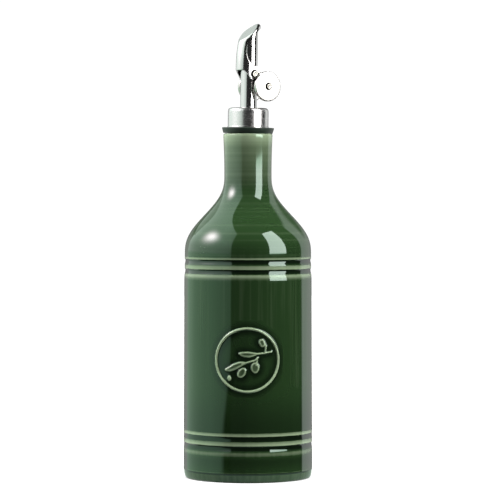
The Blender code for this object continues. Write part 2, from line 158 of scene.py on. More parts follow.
@dataclass(frozen=True)
class CeladonGlaze:
    """Transparent green glaze, dipped and fired over pale stoneware.

    It runs thin on edges, where the pale body shows through, and pools dark in grooves. The mesh holds
    how thick it lies in the attribute glaze_and_painted_light: 0 is thin, 0.5 is the flat wall and 1 is
    a pool. Painted shade on the lower body and painted highlights on the rib crests and the lip are in it
    too.
    """

    thin: str = "#94A686"
    wall: str = "#1F341A"
    pool: str = "#081207"
    roughness: float = 0.05
    ior: float = 1.62
    gloss_tint: str = "#DEFAEB"
    unevenness: float = 0.052
    run_width_mm: float = 2.6
    run_length_mm: float = 90.0
    throwing_ring_mm: float = 2.1
    throwing_ring_waver: float = 2.0
    runs_end: float = 110.0 * MM
    rings_start: float = 140.0 * MM
    ripple_mm: float = 16.0
    ripple_depth_mm: float = 0.1
    ripple_strength: float = 0.3

    def build(self) -> bpy.types.Material:
        """Build the glaze, with its runs, its throwing rings and its slightly uneven surface.

        Returns:
            The material.
        """
        made, tree = empty_material("celadon_glaze_on_stoneware")
        place = add_node(tree, "TexCoord").outputs["Object"]
        # The attribute holds the glaze's thickness together with painted shade and painted highlights.
        thickness = add_node(tree, "Attribute", attribute_name="glaze_and_painted_light").outputs["Fac"]

        # Runs stand upright on the body; throwing rings lie level and show from the shoulder up.
        across, along = 1 / (self.run_width_mm * MM), 1 / (self.run_length_mm * MM)
        run_place = add_node(tree, "Mapping", {"Vector": place, "Scale": (across, across, along)})
        runs = add_node(tree, "TexNoise", {"Vector": run_place, "Scale": 1.0, "Detail": 3.0})
        waver, level = self.throwing_ring_waver, 1 / (self.throwing_ring_mm * MM)
        ring_place = add_node(tree, "Mapping", {"Vector": place, "Scale": (waver, waver, level)})
        rings = add_node(tree, "TexNoise", {"Vector": ring_place, "Scale": 1.0, "Detail": 1.0})
        height = add_node(tree, "SeparateXYZ", {0: place}).outputs[2]
        limits = {"From Min": self.runs_end, "From Max": self.rings_start}
        upper_part = add_node(tree, "MapRange", {"Value": height, **limits})
        pattern = add_node(tree, "Mix", {0: upper_part, 2: runs, 3: rings}, data_type="FLOAT")
        swing = {1: 2.0 * self.unevenness, 2: -self.unevenness}
        shift = add_node(tree, "Math", {0: pattern, **swing}, operation="MULTIPLY_ADD")
        depth = add_node(tree, "Math", {0: thickness, 1: shift}, use_clamp=True)

        to_wall = add_node(tree, "MapRange", {"Value": depth, "From Max": WALL_LEVEL})
        to_pool = add_node(tree, "MapRange", {"Value": depth, "From Min": WALL_LEVEL})
        thin, wall, pool = linear(self.thin), linear(self.wall), linear(self.pool)
        paler = add_node(tree, "Mix", {0: to_wall, 6: thin, 7: wall}, data_type="RGBA")
        colour = add_node(tree, "Mix", {0: to_pool, 6: paler.outputs[2], 7: pool}, data_type="RGBA")

        ripple_place = add_node(tree, "Mapping", {"Vector": place, "Scale": (1.0, 1.0, 0.5)})
        scale = 1 / (self.ripple_mm * MM)
        ripple = add_node(tree, "TexNoise", {"Vector": ripple_place, "Scale": scale, "Detail": 1.0})
        relief = {"Strength": self.ripple_strength, "Distance": self.ripple_depth_mm * MM}
        look = {
            "Base Color": colour.outputs[2],
            "Roughness": self.roughness,
            "IOR": self.ior,
            "Specular Tint": linear(self.gloss_tint),
            "Normal": add_node(tree, "Bump", {"Height": ripple, **relief}),
        }
        add_node(tree, "OutputMaterial", {"Surface": add_node(tree, "BsdfPrincipled", look)})
        return made


@dataclass(frozen=True)
class GrainyFinish:
    """A finish whose colour and surface vary in one fine grain."""

    name: str
    colour: str
    fleck: str
    roughness: float
    grain_mm: float
    grain_detail: float
    grain_depth_mm: float
    grain_strength: float
    ior: float = 1.5

    def build(self) -> bpy.types.Material:
        """Build the material with its grain.

        Returns:
            The material.
        """
        made, tree = empty_material(self.name)
        place = add_node(tree, "TexCoord").outputs["Object"]
        scale = 1 / (self.grain_mm * MM)
        grain = add_node(tree, "TexNoise", {"Vector": place, "Scale": scale, "Detail": self.grain_detail})
        colours = {6: linear(self.colour), 7: linear(self.fleck)}
        relief = {"Strength": self.grain_strength, "Distance": self.grain_depth_mm * MM}
        look = {
            "Base Color": add_node(tree, "Mix", {0: grain, **colours}, data_type="RGBA").outputs[2],
            "Roughness": self.roughness,
            "IOR": self.ior,
            "Normal": add_node(tree, "Bump", {"Height": grain, **relief}),
        }
        add_node(tree, "OutputMaterial", {"Surface": add_node(tree, "BsdfPrincipled", look)})
        return made


@dataclass(frozen=True)
class Biscuit(GrainyFinish):
    """Bare fired stoneware on the foot ring, wiped clean of glaze so that it doesn't stick in the kiln.

    It gives a dull, sandy buff ring with a fine grit.
    """

    name: str = "bare_stoneware_biscuit"
    colour: str = "#CDBFA2"
    fleck: str = "#A99A7D"
    roughness: float = 0.85
    grain_mm: float = 0.5
    grain_detail: float = 4.0
    grain_depth_mm: float = 0.05
    grain_strength: float = 0.4


@dataclass(frozen=True)
class MouldedRubber(GrainyFinish):
    """Black food-grade rubber, moulded, with a satin skin that shows a soft sheen."""

    name: str = "moulded_black_rubber"
    colour: str = "#0E1911"
    fleck: str = "#1F2C23"
    roughness: float = 0.45
    grain_mm: float = 0.35
    grain_detail: float = 3.0
    grain_depth_mm: float = 0.02
    grain_strength: float = 0.3
    ior: float = 1.52


@dataclass(frozen=True)
class StainlessSteel:
    """Stainless steel, drawn, pressed or turned, and then brushed or polished.

    Brushing leaves fine level lines, which soften a reflection and give it a slight grain: the roughness
    varies by its spread to both sides.
    """

    name: str
    colour: str
    roughness: float
    spread: float
    line_mm: float = 0.35
    line_length_mm: float = 9.0
    noise_low: float = 0.3
    noise_high: float = 0.7

    def build(self) -> bpy.types.Material:
        """Build the metal with its fine brushed lines.

        Returns:
            The material.
        """
        made, tree = empty_material(self.name)
        place = add_node(tree, "TexCoord").outputs["Object"]
        along, across = 1 / (self.line_length_mm * MM), 1 / (self.line_mm * MM)
        stretched = add_node(tree, "Mapping", {"Vector": place, "Scale": (along, along, across)})
        lines = add_node(tree, "TexNoise", {"Vector": stretched, "Scale": 1.0, "Detail": 2.0})
        limits = {
            "From Min": self.noise_low,
            "From Max": self.noise_high,
            "To Min": self.roughness - self.spread,
            "To Max": self.roughness + self.spread,
        }
        rough = add_node(tree, "MapRange", {"Value": lines, **limits})
        look = {"Base Color": linear(self.colour), "Metallic": 1.0, "Roughness": rough}
        add_node(tree, "OutputMaterial", {"Surface": add_node(tree, "BsdfPrincipled", look)})
        return made


def smoothstep(value: np.ndarray | float, low: float, high: float) -> np.ndarray | float:
    """Ease from 0 at low to 1 at high; high may be the smaller one."""
    t = np.clip((value - low) / (high - low), 0.0, 1.0)
    return t * t * (3.0 - 2.0 * t)


def arc(centre: Point, radius: float, start_deg: float, end_deg: float, steps: int) -> list[Point]:
    """Return the points of an arc, both ends included."""
    angles = (math.radians(start_deg + (end_deg - start_deg) * step / steps) for step in range(steps + 1))
    return [(centre[0] + radius * math.cos(a), centre[1] + radius * math.sin(a)) for a in angles]


def smooth_path(points: Sequence[Point], steps: int) -> list[Point]:
    """Run a Catmull-Rom curve through points.

    Args:
        points: The points that the curve passes.
        steps: Pieces between two of them.

    Returns:
        The points of the curve.
    """
    ends = [points[0], *points, points[-1]]
    path = []
    for a, b, c, d in zip(ends, ends[1:], ends[2:], ends[3:]):
        for step in range(steps):
            t = step / steps
            weights = (
                -t + 2 * t**2 - t**3,
                2 - 5 * t**2 + 3 * t**3,
                t + 4 * t**2 - 3 * t**3,
                t**3 - t**2,
            )
            values = zip(a, b, c, d)
            path.append(tuple(0.5 * sum(w * v for w, v in zip(weights, four)) for four in values))
    path.append(points[-1])
    return path


def rounded(corners: Sequence[Corner], steps: int = 5, closed: bool = False) -> list[Point]:
    """Round the corners of a profile.

    Args:
        corners: Points as (x, y, radius of the rounding).
        steps: Pieces in each rounded corner.
        closed: Whether the last corner joins the first.

    Returns:
        The points of the rounded profile.
    """
    path: list[Point] = []
    count = len(corners)
    for index, (x, y, radius) in enumerate(corners):
        if radius <= 0.0 or (not closed and index in (0, count - 1)):
            path.append((x, y))
            continue
        here = Vector((x, y))
        before = Vector(corners[index - 1][:2]) - here
        after = Vector(corners[(index + 1) % count][:2]) - here
        half = 0.5 * before.angle(after)
        longest = 0.49 * min(before.length, after.length)  # so that two roundings never meet on a side
        reach = min(radius / math.tan(half), longest)
        start, end = here + before.normalized() * reach, here + after.normalized() * reach
        for step in range(steps + 1):
            t = step / steps
            point = start * (1 - t) ** 2 + here * (2 * t * (1 - t)) + end * t * t
            path.append((point.x, point.y))
    return path


def link_object(name: str, data: bpy.types.ID) -> bpy.types.Object:
    """Put new object data into the scene.

    Args:
        name: The object's name.
        data: Its mesh, light or camera.

    Returns:
        The object.
    """
    made = bpy.data.objects.new(name, data)
    bpy.context.scene.collection.objects.link(made)
    return made


def mesh_object(name: str, bm: bmesh.types.BMesh, place: Matrix) -> bpy.types.Object:
    """Turn a bmesh into a smooth shaded object.

    Args:
        name: The object's name.
        bm: The shape, which is freed.
        place: Where the mesh is moved; the object stays at the origin.

    Returns:
        The object.
    """
    bmesh.ops.recalc_face_normals(bm, faces=bm.faces)
    mesh = bpy.data.meshes.new(name)
    bm.to_mesh(mesh)
    bm.free()
    mesh.transform(place)
    mesh.shade_smooth()
    mesh.set_sharp_from_angle(angle=CREASE)
    return link_object(name, mesh)


def lathe(profile: Sequence[Point], segments: int, closed: bool = False) -> bmesh.types.BMesh:
    """Spin a profile of (radius, height) points about Z.

    Args:
        profile: The points; a radius of zero closes the shape on the axis.
        segments: Steps round the axis.
        closed: Whether the last point joins the first, for a ring.

    Returns:
        The turned shape.
    """
    bm = bmesh.new()
    verts = [bm.verts.new((radius, 0.0, height)) for radius, height in profile]
    edges = [bm.edges.new(pair) for pair in zip(verts, verts[1:])]
    if closed:
        edges.append(bm.edges.new((verts[-1], verts[0])))
    bmesh.ops.spin(
        bm,
        geom=verts + edges,
        axis=(0.0, 0.0, 1.0),
        cent=(0.0, 0.0, 0.0),
        angle=math.tau,
        steps=segments,
        use_merge=True,
    )
    bmesh.ops.remove_doubles(bm, verts=bm.verts, dist=0.0005 * MM)
    return bm


def bake_modifiers(made: bpy.types.Object, operands: Sequence[bpy.types.Object]) -> None:
    """Apply all modifiers of an object to its mesh.

    Args:
        made: The object.
        operands: Objects that the modifiers used, which are deleted.
    """
    evaluated = made.evaluated_get(bpy.context.evaluated_depsgraph_get())
    mesh = bpy.data.meshes.new_from_object(evaluated)
    made.modifiers.clear()
    made.data = mesh
    for operand in operands:
        bpy.data.objects.remove(operand, do_unlink=True)


def finish_piece(
    made: bpy.types.Object, body: Body, slot: Slot, materials: Sequence[bpy.types.Material], *nodes: str
) -> None:
    """Dress a piece, put it on its body and let it stand for its CAD nodes.

    Args:
        made: The piece.
        body: The body that it rides on.
        slot: The record's material slot; not used.
        materials: The materials of the mesh, in the order of its faces' indices.
        *nodes: The CAD nodes that the piece replaces.
    """
    made.data.materials.clear()
    for material in materials:
        made.data.materials.append(material)
    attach(made, body.value)
    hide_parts(*nodes)
    made.data.calc_loop_triangles()
    LOG.info("%s: %d triangles on %s", made.name, len(made.data.loop_triangles), body.value)


@dataclass(frozen=True)
class OliveSprig:
    """The medallion: a ring round an olive sprig, as raised shapes that are drawn by their distance.

    Lengths are in millimetres from the middle of the ring, x to the right and z up. A twig's points are
    (x, z, half of its width there). A leaf is its spine and half of its width. An olive is its middle,
    its half sizes and its turn in degrees. Each thinning or pool is a change of the glaze's thickness.
    """

    ring_radius: float = 17.9
    ring_line: float = 1.22
    height: float = 0.7
    bank: float = 0.32
    dish: float = 0.22
    dish_edge: Pair = (-0.5, -1.6)
    twig_margin: float = 0.2
    spread: float = 0.975
    line_thinning: float = 0.60
    rim_thinning: float = 0.42
    rim_inset: float = 0.35
    rim_width: float = 0.45
    inner_thinning: float = 0.05
    bank_pool: float = 0.34
    bank_pool_reach: float = 4.6
    field_pool: float = 0.10
    leaf_tip: float = 0.1
    leaf_fullness: float = 0.8
    leaf_steps: int = 8
    twigs: tuple[tuple[Corner, ...], ...] = (
        ((5.3, 3.7, 0.42), (7.9, 3.9, 0.38), (10.6, 4.2, 0.38), (12.5, 4.5, 0.36), (14.3, 4.9, 0.34)),
        ((-3.0, -2.0, 0.5), (-0.4, -1.4, 0.4), (2.2, -0.7, 0.34), (4.6, 0.0, 0.4), (6.1, 1.5, 0.42)),
        ((9.9, 10.0, 0.4), (10.8, 8.0, 0.4), (10.5, 4.4, 0.4)),
        ((5.7, 0.8, 0.4), (5.5, -1.2, 0.4), (5.2, -2.8, 0.4)),
    )
    leaves: tuple[tuple[tuple[Point, ...], float], ...] = (
        (((-4.7, 3.9), (-1.9, 3.4), (1.9, 3.3), (5.6, 3.7)), 1.45),
        (((-12.9, -5.7), (-10.4, -5.3), (-7.0, -3.6), (-3.6, -2.1), (-0.6, -1.5)), 1.5),
    )
    olives: tuple[tuple[Point, Point, float], ...] = (
        ((8.5, 9.95), (2.35, 1.8), 112.0),
        ((4.5, -4.4), (3.1, 2.4), 90.0),
        ((-3.2, -7.3), (3.1, 2.15), 54.0),
    )
    bud: tuple[Point, Point, float] = ((-10.5, -10.5), (1.5, 0.95), 95.0)

    def oval(self, x: np.ndarray, z: np.ndarray, at: Point, half: Point, turn_deg: float) -> np.ndarray:
        """Measure the distance to an ellipse.

        Args:
            x: Places to the right of the middle.
            z: Places above the middle.
            at: The ellipse's middle.
            half: Half of its sizes.
            turn_deg: Its turn from lying level.

        Returns:
            The signed distances, negative inside it.
        """
        a = math.radians(turn_deg)
        u = (x - at[0]) * math.cos(a) + (z - at[1]) * math.sin(a)
        v = -(x - at[0]) * math.sin(a) + (z - at[1]) * math.cos(a)
        scaled = np.sqrt((u / half[0]) ** 2 + (v / half[1]) ** 2)
        slope = np.sqrt((u / half[0] ** 2) ** 2 + (v / half[1] ** 2) ** 2)
        return (scaled - 1.0) * scaled / np.maximum(slope, 1e-6)

    def stroke(self, x: np.ndarray, z: np.ndarray, path: Sequence[Corner]) -> np.ndarray:
        """Measure the distance to a line of changing width.

        Args:
            x: Places to the right of the middle.
            z: Places above the middle.
            path: The line's points as (x, z, half of its width there).

        Returns:
            The signed distances, negative inside it.
        """
        best = np.full_like(x, np.inf)
        for (ax, az, aw), (bx, bz, bw) in zip(path, path[1:]):
            length = (bx - ax) ** 2 + (bz - az) ** 2
            t = np.clip(((x - ax) * (bx - ax) + (z - az) * (bz - az)) / length, 0.0, 1.0)
            gap = np.hypot(x - ax - t * (bx - ax), z - az - t * (bz - az)) - (aw + t * (bw - aw))
            best = np.minimum(best, gap)
        return best

    def leaf(self, x: np.ndarray, z: np.ndarray, spine: Sequence[Point], half_width: float) -> np.ndarray:
        """Measure the distance to a pointed leaf, widest near its middle.

        Args:
            x: Places to the right of the middle.
            z: Places above the middle.
            spine: Points of its curved spine.
            half_width: Half of its greatest width.

        Returns:
            The signed distances, negative inside it.
        """
        line = smooth_path(spine, self.leaf_steps)
        path = []
        for index, (px, pz) in enumerate(line):
            share = min(index / (len(line) - 1), 0.999)
            width = half_width * math.sin(math.pi * share) ** self.leaf_fullness
            path.append((px, pz, self.leaf_tip + width))
        return self.stroke(x, z, path)

    def distances(self, x: np.ndarray, z: np.ndarray) -> tuple[np.ndarray, np.ndarray]:
        """Measure the distances to the lines and to the full shapes, leaves and olives.

        Args:
            x: Places to the right of the middle.
            z: Places above the middle.

        Returns:
            The distance to the nearest line, and that to the nearest leaf or olive.
        """
        ring = np.abs(np.hypot(x, z) - self.ring_radius) - 0.5 * self.ring_line
        x, z = x / self.spread, z / self.spread
        lines = [ring, self.oval(x, z, *self.bud)] + [self.stroke(x, z, twig) for twig in self.twigs]
        shapes = [self.leaf(x, z, spine, half_width) for spine, half_width in self.leaves]
        shapes += [self.oval(x, z, *olive) for olive in self.olives]
        return np.minimum.reduce(lines), np.minimum.reduce(shapes)

    def lift(self, x: np.ndarray, z: np.ndarray) -> np.ndarray:
        """Work out the relief: soft banks, and a shallow dish inside each leaf and olive.

        Args:
            x: Places to the right of the middle.
            z: Places above the middle.

        Returns:
            Heights above the plain wall, in metres.
        """
        line, shape = self.distances(x, z)
        bank = smoothstep(np.minimum(line, shape), self.bank, -self.bank)
        dish = self.dish * smoothstep(shape, *self.dish_edge)
        return self.height * MM * (bank - np.where(line < self.twig_margin, 0.0, dish))

    def glaze(self, x: np.ndarray, z: np.ndarray) -> np.ndarray:
        """Work out how the glaze lies: thin along each rim, pooled inside and against each bank.

        Args:
            x: Places to the right of the middle.
            z: Places above the middle.

        Returns:
            Changes of the glaze's thickness.
        """
        line, shape = self.distances(x, z)
        away = np.minimum(line, shape)
        thin = self.line_thinning * smoothstep(line, 0.35, -0.3)
        rim = self.rim_thinning * np.exp(-(((shape + self.rim_inset) / self.rim_width) ** 2))
        rim = rim + self.inner_thinning * smoothstep(shape, 0.1, -0.5)
        pool = self.bank_pool * smoothstep(away, self.bank_pool_reach, 0.6) * smoothstep(away, 0.1, 0.5)
        field = self.field_pool * smoothstep(np.hypot(x, z), self.ring_radius, self.ring_radius - 1.5)
        return pool + field * smoothstep(away, 0.2, 0.8) - np.maximum(thin, rim)


@dataclass(frozen=True)
class RibBand:
    """Two turned ribs: each has a pale crest over a sharp edge and a dark groove that ramps out below it.

    The glaze thins once more under the last groove, in a soft tail. Levels are changes of its thickness.
    Each pale crest is thin glaze together with a painted highlight along it.
    """

    edges: Pair
    depths: Pair
    crests_mm: Pair
    crest_levels_with_painted_highlight: Pair
    tail_mm: float
    tail_spread_mm: Pair
    tail_level: float
    ramps_mm: Pair = (3.4, 4.4)
    groove_level: float = 0.47

    def relief(self, z: np.ndarray) -> tuple[np.ndarray, np.ndarray]:
        """Work out the ribs' relief and glaze.

        Args:
            z: Heights on the outer wall.

        Returns:
            The depth below the plain wall, and the change of the glaze's thickness.
        """
        depth, glaze, below = np.zeros_like(z), np.zeros_like(z), np.zeros_like(z)
        far_level, near_level = self.crest_levels_with_painted_highlight
        for edge, deep, crest, ramp_end in zip(self.edges, self.depths, self.crests_mm, self.ramps_mm):
            below = (edge - z) / MM
            groove = smoothstep(below, -0.1, 0.6) * smoothstep(below, ramp_end, 1.0)
            depth = np.maximum(depth, deep * groove)
            # The pale crest: thin glaze together with a painted highlight.
            rim = smoothstep(below, 0.12, -0.12) * smoothstep(below, -crest - 0.45, -crest + 0.35)
            crest_level_with_painted_highlight = far_level + (near_level - far_level) * smoothstep(below, -crest, 0.0)
            pool = smoothstep(below, -0.05, 0.25) * smoothstep(below, 3.0, 2.0)
            glaze = glaze + self.groove_level * pool - crest_level_with_painted_highlight * rim
        run = (below - self.tail_mm) / np.where(below < self.tail_mm, *self.tail_spread_mm)
        glaze = glaze - self.tail_level * np.exp(-(run**2)) * smoothstep(below, 1.9, 3.1)
        return depth, glaze


@dataclass(frozen=True)
class Bottle:
    """The thrown and moulded bottle: foot, ribbed bands, medallion, shoulder and flared neck.

    neck_thinning holds heights in millimetres, from and to, and how much thinner the glaze gets between.
    """

    mouth_height: float
    foot_ring_radius: float = 35.7 * MM
    foot_recess_radius: float = 30.0 * MM
    foot_recess_depth: float = 1.2 * MM
    foot_corner: float = 4.9 * MM
    foot_band_level: float = 0.46
    foot_line_levels: tuple[float, ...] = (0.95, 0.95, 0.75, 0.40)
    bare_rows: tuple[int, int] = (3, 6)
    body_radius_low: float = 37.25 * MM
    body_radius_high: float = 36.85 * MM
    taper_from: float = 30.0 * MM
    taper_to: float = 115.0 * MM
    upright_from: float = 121.5 * MM
    shoulder_foot: float = 129.0 * MM
    shoulder_top: float = 175.0 * MM
    shoulder_foot_radius: float = 36.55 * MM
    neck_radius: float = 13.68 * MM
    neck_waist: float = 178.0 * MM
    neck_flare_power: float = 1.6
    rim_radius: float = 14.3 * MM
    rim_rounding: float = 1.0 * MM
    mouth_level: float = 0.3
    bands: tuple[RibBand, ...] = (
        RibBand(
            edges=(126.75 * MM, 121.2 * MM),
            depths=(0.40 * MM, 0.40 * MM),
            crests_mm=(1.1, 2.1),
            crest_levels_with_painted_highlight=(0.26, 0.36),
            tail_mm=3.7,
            tail_spread_mm=(1.0, 1.35),
            tail_level=0.28,
        ),
        RibBand(
            edges=(26.45 * MM, 21.05 * MM),
            depths=(0.10 * MM, 0.25 * MM),
            crests_mm=(1.9, 2.4),
            crest_levels_with_painted_highlight=(0.46, 0.72),
            tail_mm=4.5,
            tail_spread_mm=(1.6, 2.5),
            tail_level=0.42,
        ),
    )
    neck_thinning: tuple[Corner, ...] = (
        (165.0, 177.0, 0.075),
        (177.0, 191.0, 0.07),
        (191.0, 194.0, 0.12),
        (194.0, 197.0, 0.14),
    )
    # Thicker, darker glaze low on the body: painted shade for less light falling there.
    foot_painted_shade: float = 0.27
    painted_shade_top: Pair = (56.0 * MM, 30.0 * MM)
    painted_shade_low: Pair = (4.0 * MM, 13.0 * MM)
    medallion_height: float = 70.05 * MM
    medallion_aside: float = 0.35 * MM
    medallion_reach: float = 20.5 * MM
    lower_band_rows: Pair = (13.0 * MM, 31.0 * MM)
    upper_band_rows: Pair = (112.0 * MM, 129.0 * MM)
    fine_step: float = 0.3 * MM
    foot_step: float = 1.2 * MM
    plain_step: float = 2.2 * MM
    shoulder_step: float = 1.0 * MM
    neck_step: float = 1.6 * MM
    rear_columns: int = 96

    def wall_radius(self, z: np.ndarray) -> np.ndarray:
        """Work out the plain wall, without its ribs.

        Args:
            z: Heights on the outer wall.

        Returns:
            The radius at each height.
        """
        along = np.clip((z - self.taper_from) / (self.taper_to - self.taper_from), 0.0, 1.0)
        body = self.body_radius_low + (self.body_radius_high - self.body_radius_low) * along
        above = np.clip((z - self.taper_to) / (self.upright_from - self.taper_to), 0.0, 1.0)
        body = body + (self.shoulder_foot_radius - self.body_radius_high) * above
        t = np.clip((self.shoulder_top - z) / (self.shoulder_top - self.shoulder_foot), 0.0, 1.0)
        ease = t**3 * (10.0 - 15.0 * t + 6.0 * t * t)
        shoulder = self.neck_radius + (self.shoulder_foot_radius - self.neck_radius) * ease
        flare = np.clip((z - self.neck_waist) / (self.mouth_height - self.neck_waist), 0.0, 1.0)
        neck = self.neck_radius + (self.rim_radius - self.neck_radius) * flare**self.neck_flare_power
        return np.where(z <= self.shoulder_foot, body, np.where(z <= self.shoulder_top, shoulder, neck))

    def heights(self) -> np.ndarray:
        """Space the rows of the outer wall.

        Returns:
            Their heights, close together where there is relief.
        """
        low = self.medallion_height - self.medallion_reach
        high = self.medallion_height + self.medallion_reach
        spans = (
            (self.foot_corner + 1.1 * MM, self.lower_band_rows[0], self.foot_step),
            (*self.lower_band_rows, self.fine_step),
            (self.lower_band_rows[1], low, self.plain_step),
            (low, high, self.fine_step),
            (high, self.upper_band_rows[0], self.plain_step),
            (*self.upper_band_rows, self.fine_step),
            (self.upper_band_rows[1], self.neck_waist, self.shoulder_step),
            (self.neck_waist, self.mouth_height - self.rim_rounding, self.neck_step),
        )
        return np.concatenate([np.arange(start, end - 0.4 * step, step) for start, end, step in spans])

    def angles(self) -> np.ndarray:
        """Space the columns of the wall.

        Returns:
            Their angles from the front, close together across the medallion.
        """
        reach = math.asin(self.medallion_reach / self.body_radius_high)
        fine = int(round(2 * reach * self.body_radius_high / self.fine_step))
        front = np.linspace(-reach, reach, fine, endpoint=False)
        rear = np.linspace(reach, math.tau - reach, self.rear_columns, endpoint=False)
        return np.concatenate([front, rear])

    def foot_profile(self) -> tuple[list[Point], list[float]]:
        """Draw the underside, the foot ring and the bevelled band up to its sharp line.

        Returns:
            The points as (radius, height), and the glaze's thickness at each.
        """
        wall, recess, ring = self.body_radius_low, self.foot_recess_radius, self.foot_ring_radius
        underside = [
            (0.0, self.foot_recess_depth),
            (recess - 1.6 * MM, self.foot_recess_depth),
            (recess - 0.7 * MM, self.foot_recess_depth - 0.3 * MM),
            (recess - 0.1 * MM, 0.25 * MM),
            (recess + 0.4 * MM, 0.0),
            (ring - 0.35 * MM, 0.0),
            (ring, 0.1 * MM),
        ]
        bevel = smooth_path(
            (
                (ring + 0.12 * MM, 0.25 * MM),
                (wall - 0.85 * MM, 1.1 * MM),
                (wall - 0.45 * MM, 2.6 * MM),
                (wall - 0.22 * MM, self.foot_corner - 0.6 * MM),
            ),
            4,
        )
        line = [
            (wall - 0.10 * MM, self.foot_corner - 0.25 * MM),
            (wall - 0.02 * MM, self.foot_corner),
            (wall - 0.01 * MM, self.foot_corner + 0.35 * MM),
            (wall - 0.01 * MM, self.foot_corner + 0.75 * MM),
        ]
        levels = [WALL_LEVEL] * len(underside) + [self.foot_band_level] * len(bevel)
        return underside + bevel + line, levels + [*self.foot_line_levels]

    def profile(self) -> tuple[np.ndarray, np.ndarray]:
        """Draw the outline from the middle of the base to the middle of the mouth.

        Returns:
            The points as (radius, height), and the glaze's thickness at each, with painted shade and
            highlights.
        """
        foot, foot_levels = self.foot_profile()
        rows = self.heights()
        reliefs = [band.relief(rows) for band in self.bands]
        wall = self.wall_radius(rows) - np.maximum.reduce([depth for depth, _ in reliefs])
        lip_foot = self.mouth_height - self.rim_rounding
        lip_radius = float(self.wall_radius(np.array([lip_foot]))[0])
        lip = arc((lip_radius - self.rim_rounding, lip_foot), self.rim_rounding, 12.0, 90.0, 8)
        crown = [(0.45 * lip_radius, self.mouth_height), (0.0, self.mouth_height)]
        levels = WALL_LEVEL + sum(glaze for _, glaze in reliefs)
        for low, high, share in self.neck_thinning:
            levels = levels - share * smoothstep(rows, low * MM, high * MM)
        # Painted shade: the glaze is made darker on the lower body.
        painted_shade_band = smoothstep(rows, *self.painted_shade_top) * smoothstep(rows, *self.painted_shade_low)
        levels = levels + self.foot_painted_shade * painted_shade_band
        # The lip's rounding gets no glaze thickness and shows pale: thin glaze on the rim together with a
        # painted highlight.
        mouth_levels = [0.0] * len(lip) + [self.mouth_level] * len(crown)
        points = foot + list(zip(wall, rows)) + lip + crown
        return np.array(points), np.concatenate([foot_levels, levels, mouth_levels])

    def build(self, glaze: bpy.types.Material, biscuit: bpy.types.Material) -> None:
        """Build the bottle as one closed skin with its relief in the mesh.

        Args:
            glaze: The glaze of the outside.
            biscuit: The bare clay of the foot ring.
        """
        points, thickness = self.profile()
        angles = self.angles()
        sprig = OliveSprig()
        columns, inner = len(angles), points[1:-1]
        radius = np.repeat(inner[:, :1], columns, axis=1)
        height = np.repeat(inner[:, 1:], columns, axis=1)
        turn = np.repeat(angles[None, :], len(inner), axis=0)
        depth = np.repeat(thickness[1:-1, None], columns, axis=1)

        wrapped = np.where(turn > math.pi, turn - math.tau, turn)
        x_mm = (0.5 * radius * (np.sin(turn) + wrapped) + self.medallion_aside) / MM
        z_mm = (height - self.medallion_height) / MM
        reach_mm = self.medallion_reach / MM + 0.5
        on_front = (np.cos(turn) > 0) & (np.abs(z_mm) < reach_mm) & (np.abs(x_mm) < reach_mm)
        radius = radius + np.where(on_front, sprig.lift(x_mm, z_mm), 0.0)
        depth = np.clip(depth + np.where(on_front, sprig.glaze(x_mm, z_mm), 0.0), 0.0, 1.0)

        verts = np.stack([radius * np.sin(turn), -radius * np.cos(turn), height], axis=2).reshape(-1, 3)
        verts = np.vstack([verts, [[0.0, 0.0, points[0, 1]], [0.0, 0.0, points[-1, 1]]]])
        base, crown = len(verts) - 2, len(verts) - 1
        index = np.arange(len(inner) * columns).reshape(len(inner), columns)
        after = np.roll(index, -1, axis=1)
        quads = np.stack([index[:-1], after[:-1], after[1:], index[1:]], axis=2).reshape(-1, 4)
        faces = quads.tolist()
        faces += [(base, int(b), int(a)) for a, b in zip(index[0], after[0])]
        faces += [(crown, int(a), int(b)) for a, b in zip(index[-1], after[-1])]

        mesh = bpy.data.meshes.new("glazed_bottle")
        mesh.from_pydata(verts.tolist(), [], faces)
        layer = mesh.attributes.new("glaze_and_painted_light", "FLOAT", "POINT")
        levels = np.append(depth.reshape(-1), [WALL_LEVEL, self.mouth_level])
        layer.data.foreach_set("value", levels.astype(np.float32))
        slots = np.zeros(len(faces), np.int32)
        slots[self.bare_rows[0] * columns : self.bare_rows[1] * columns] = 1
        mesh.polygons.foreach_set("material_index", slots)
        mesh.shade_smooth()
        made = link_object("glazed_bottle", mesh)
        finish_piece(made, Body.BOTTLE, Slot.GLAZE, (glaze, biscuit), "bottle")


@dataclass(frozen=True)
class PourerFrame:
    """Where the pourer stands: its own Z runs up the tube and its X is the way that it pours."""

    mouth: Vector
    hinge: Vector
    hinge_axis: Vector

    @classmethod
    def from_packed(cls, packed: dict[str, Any]) -> "PourerFrame":
        """Read the mouth and the hinge.

        Args:
            packed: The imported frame.

        Returns:
            The pourer's place.
        """
        joint = packed["joints"][0]
        mouth = Vector((0.0, 0.0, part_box("bottle")[1].z))
        return cls(mouth, Vector(joint["pos_m"]), Vector(joint["axis"]).normalized())

    def at(self, origin: Vector) -> Matrix:
        """Turn the pourer's own axes into the frame's.

        Args:
            origin: Where the pourer's axes start.

        Returns:
            The matrix from the pourer's axes to the frame's.
        """
        up = (self.hinge - self.mouth).normalized()
        ahead = self.hinge_axis.cross(up).normalized()
        return Matrix.Translation(origin) @ Matrix((ahead, self.hinge_axis, up)).transposed().to_4x4()

    @property
    def hinge_height(self) -> float:
        """Distance from the mouth up the tube to the hinge."""
        return (self.hinge - self.mouth).length


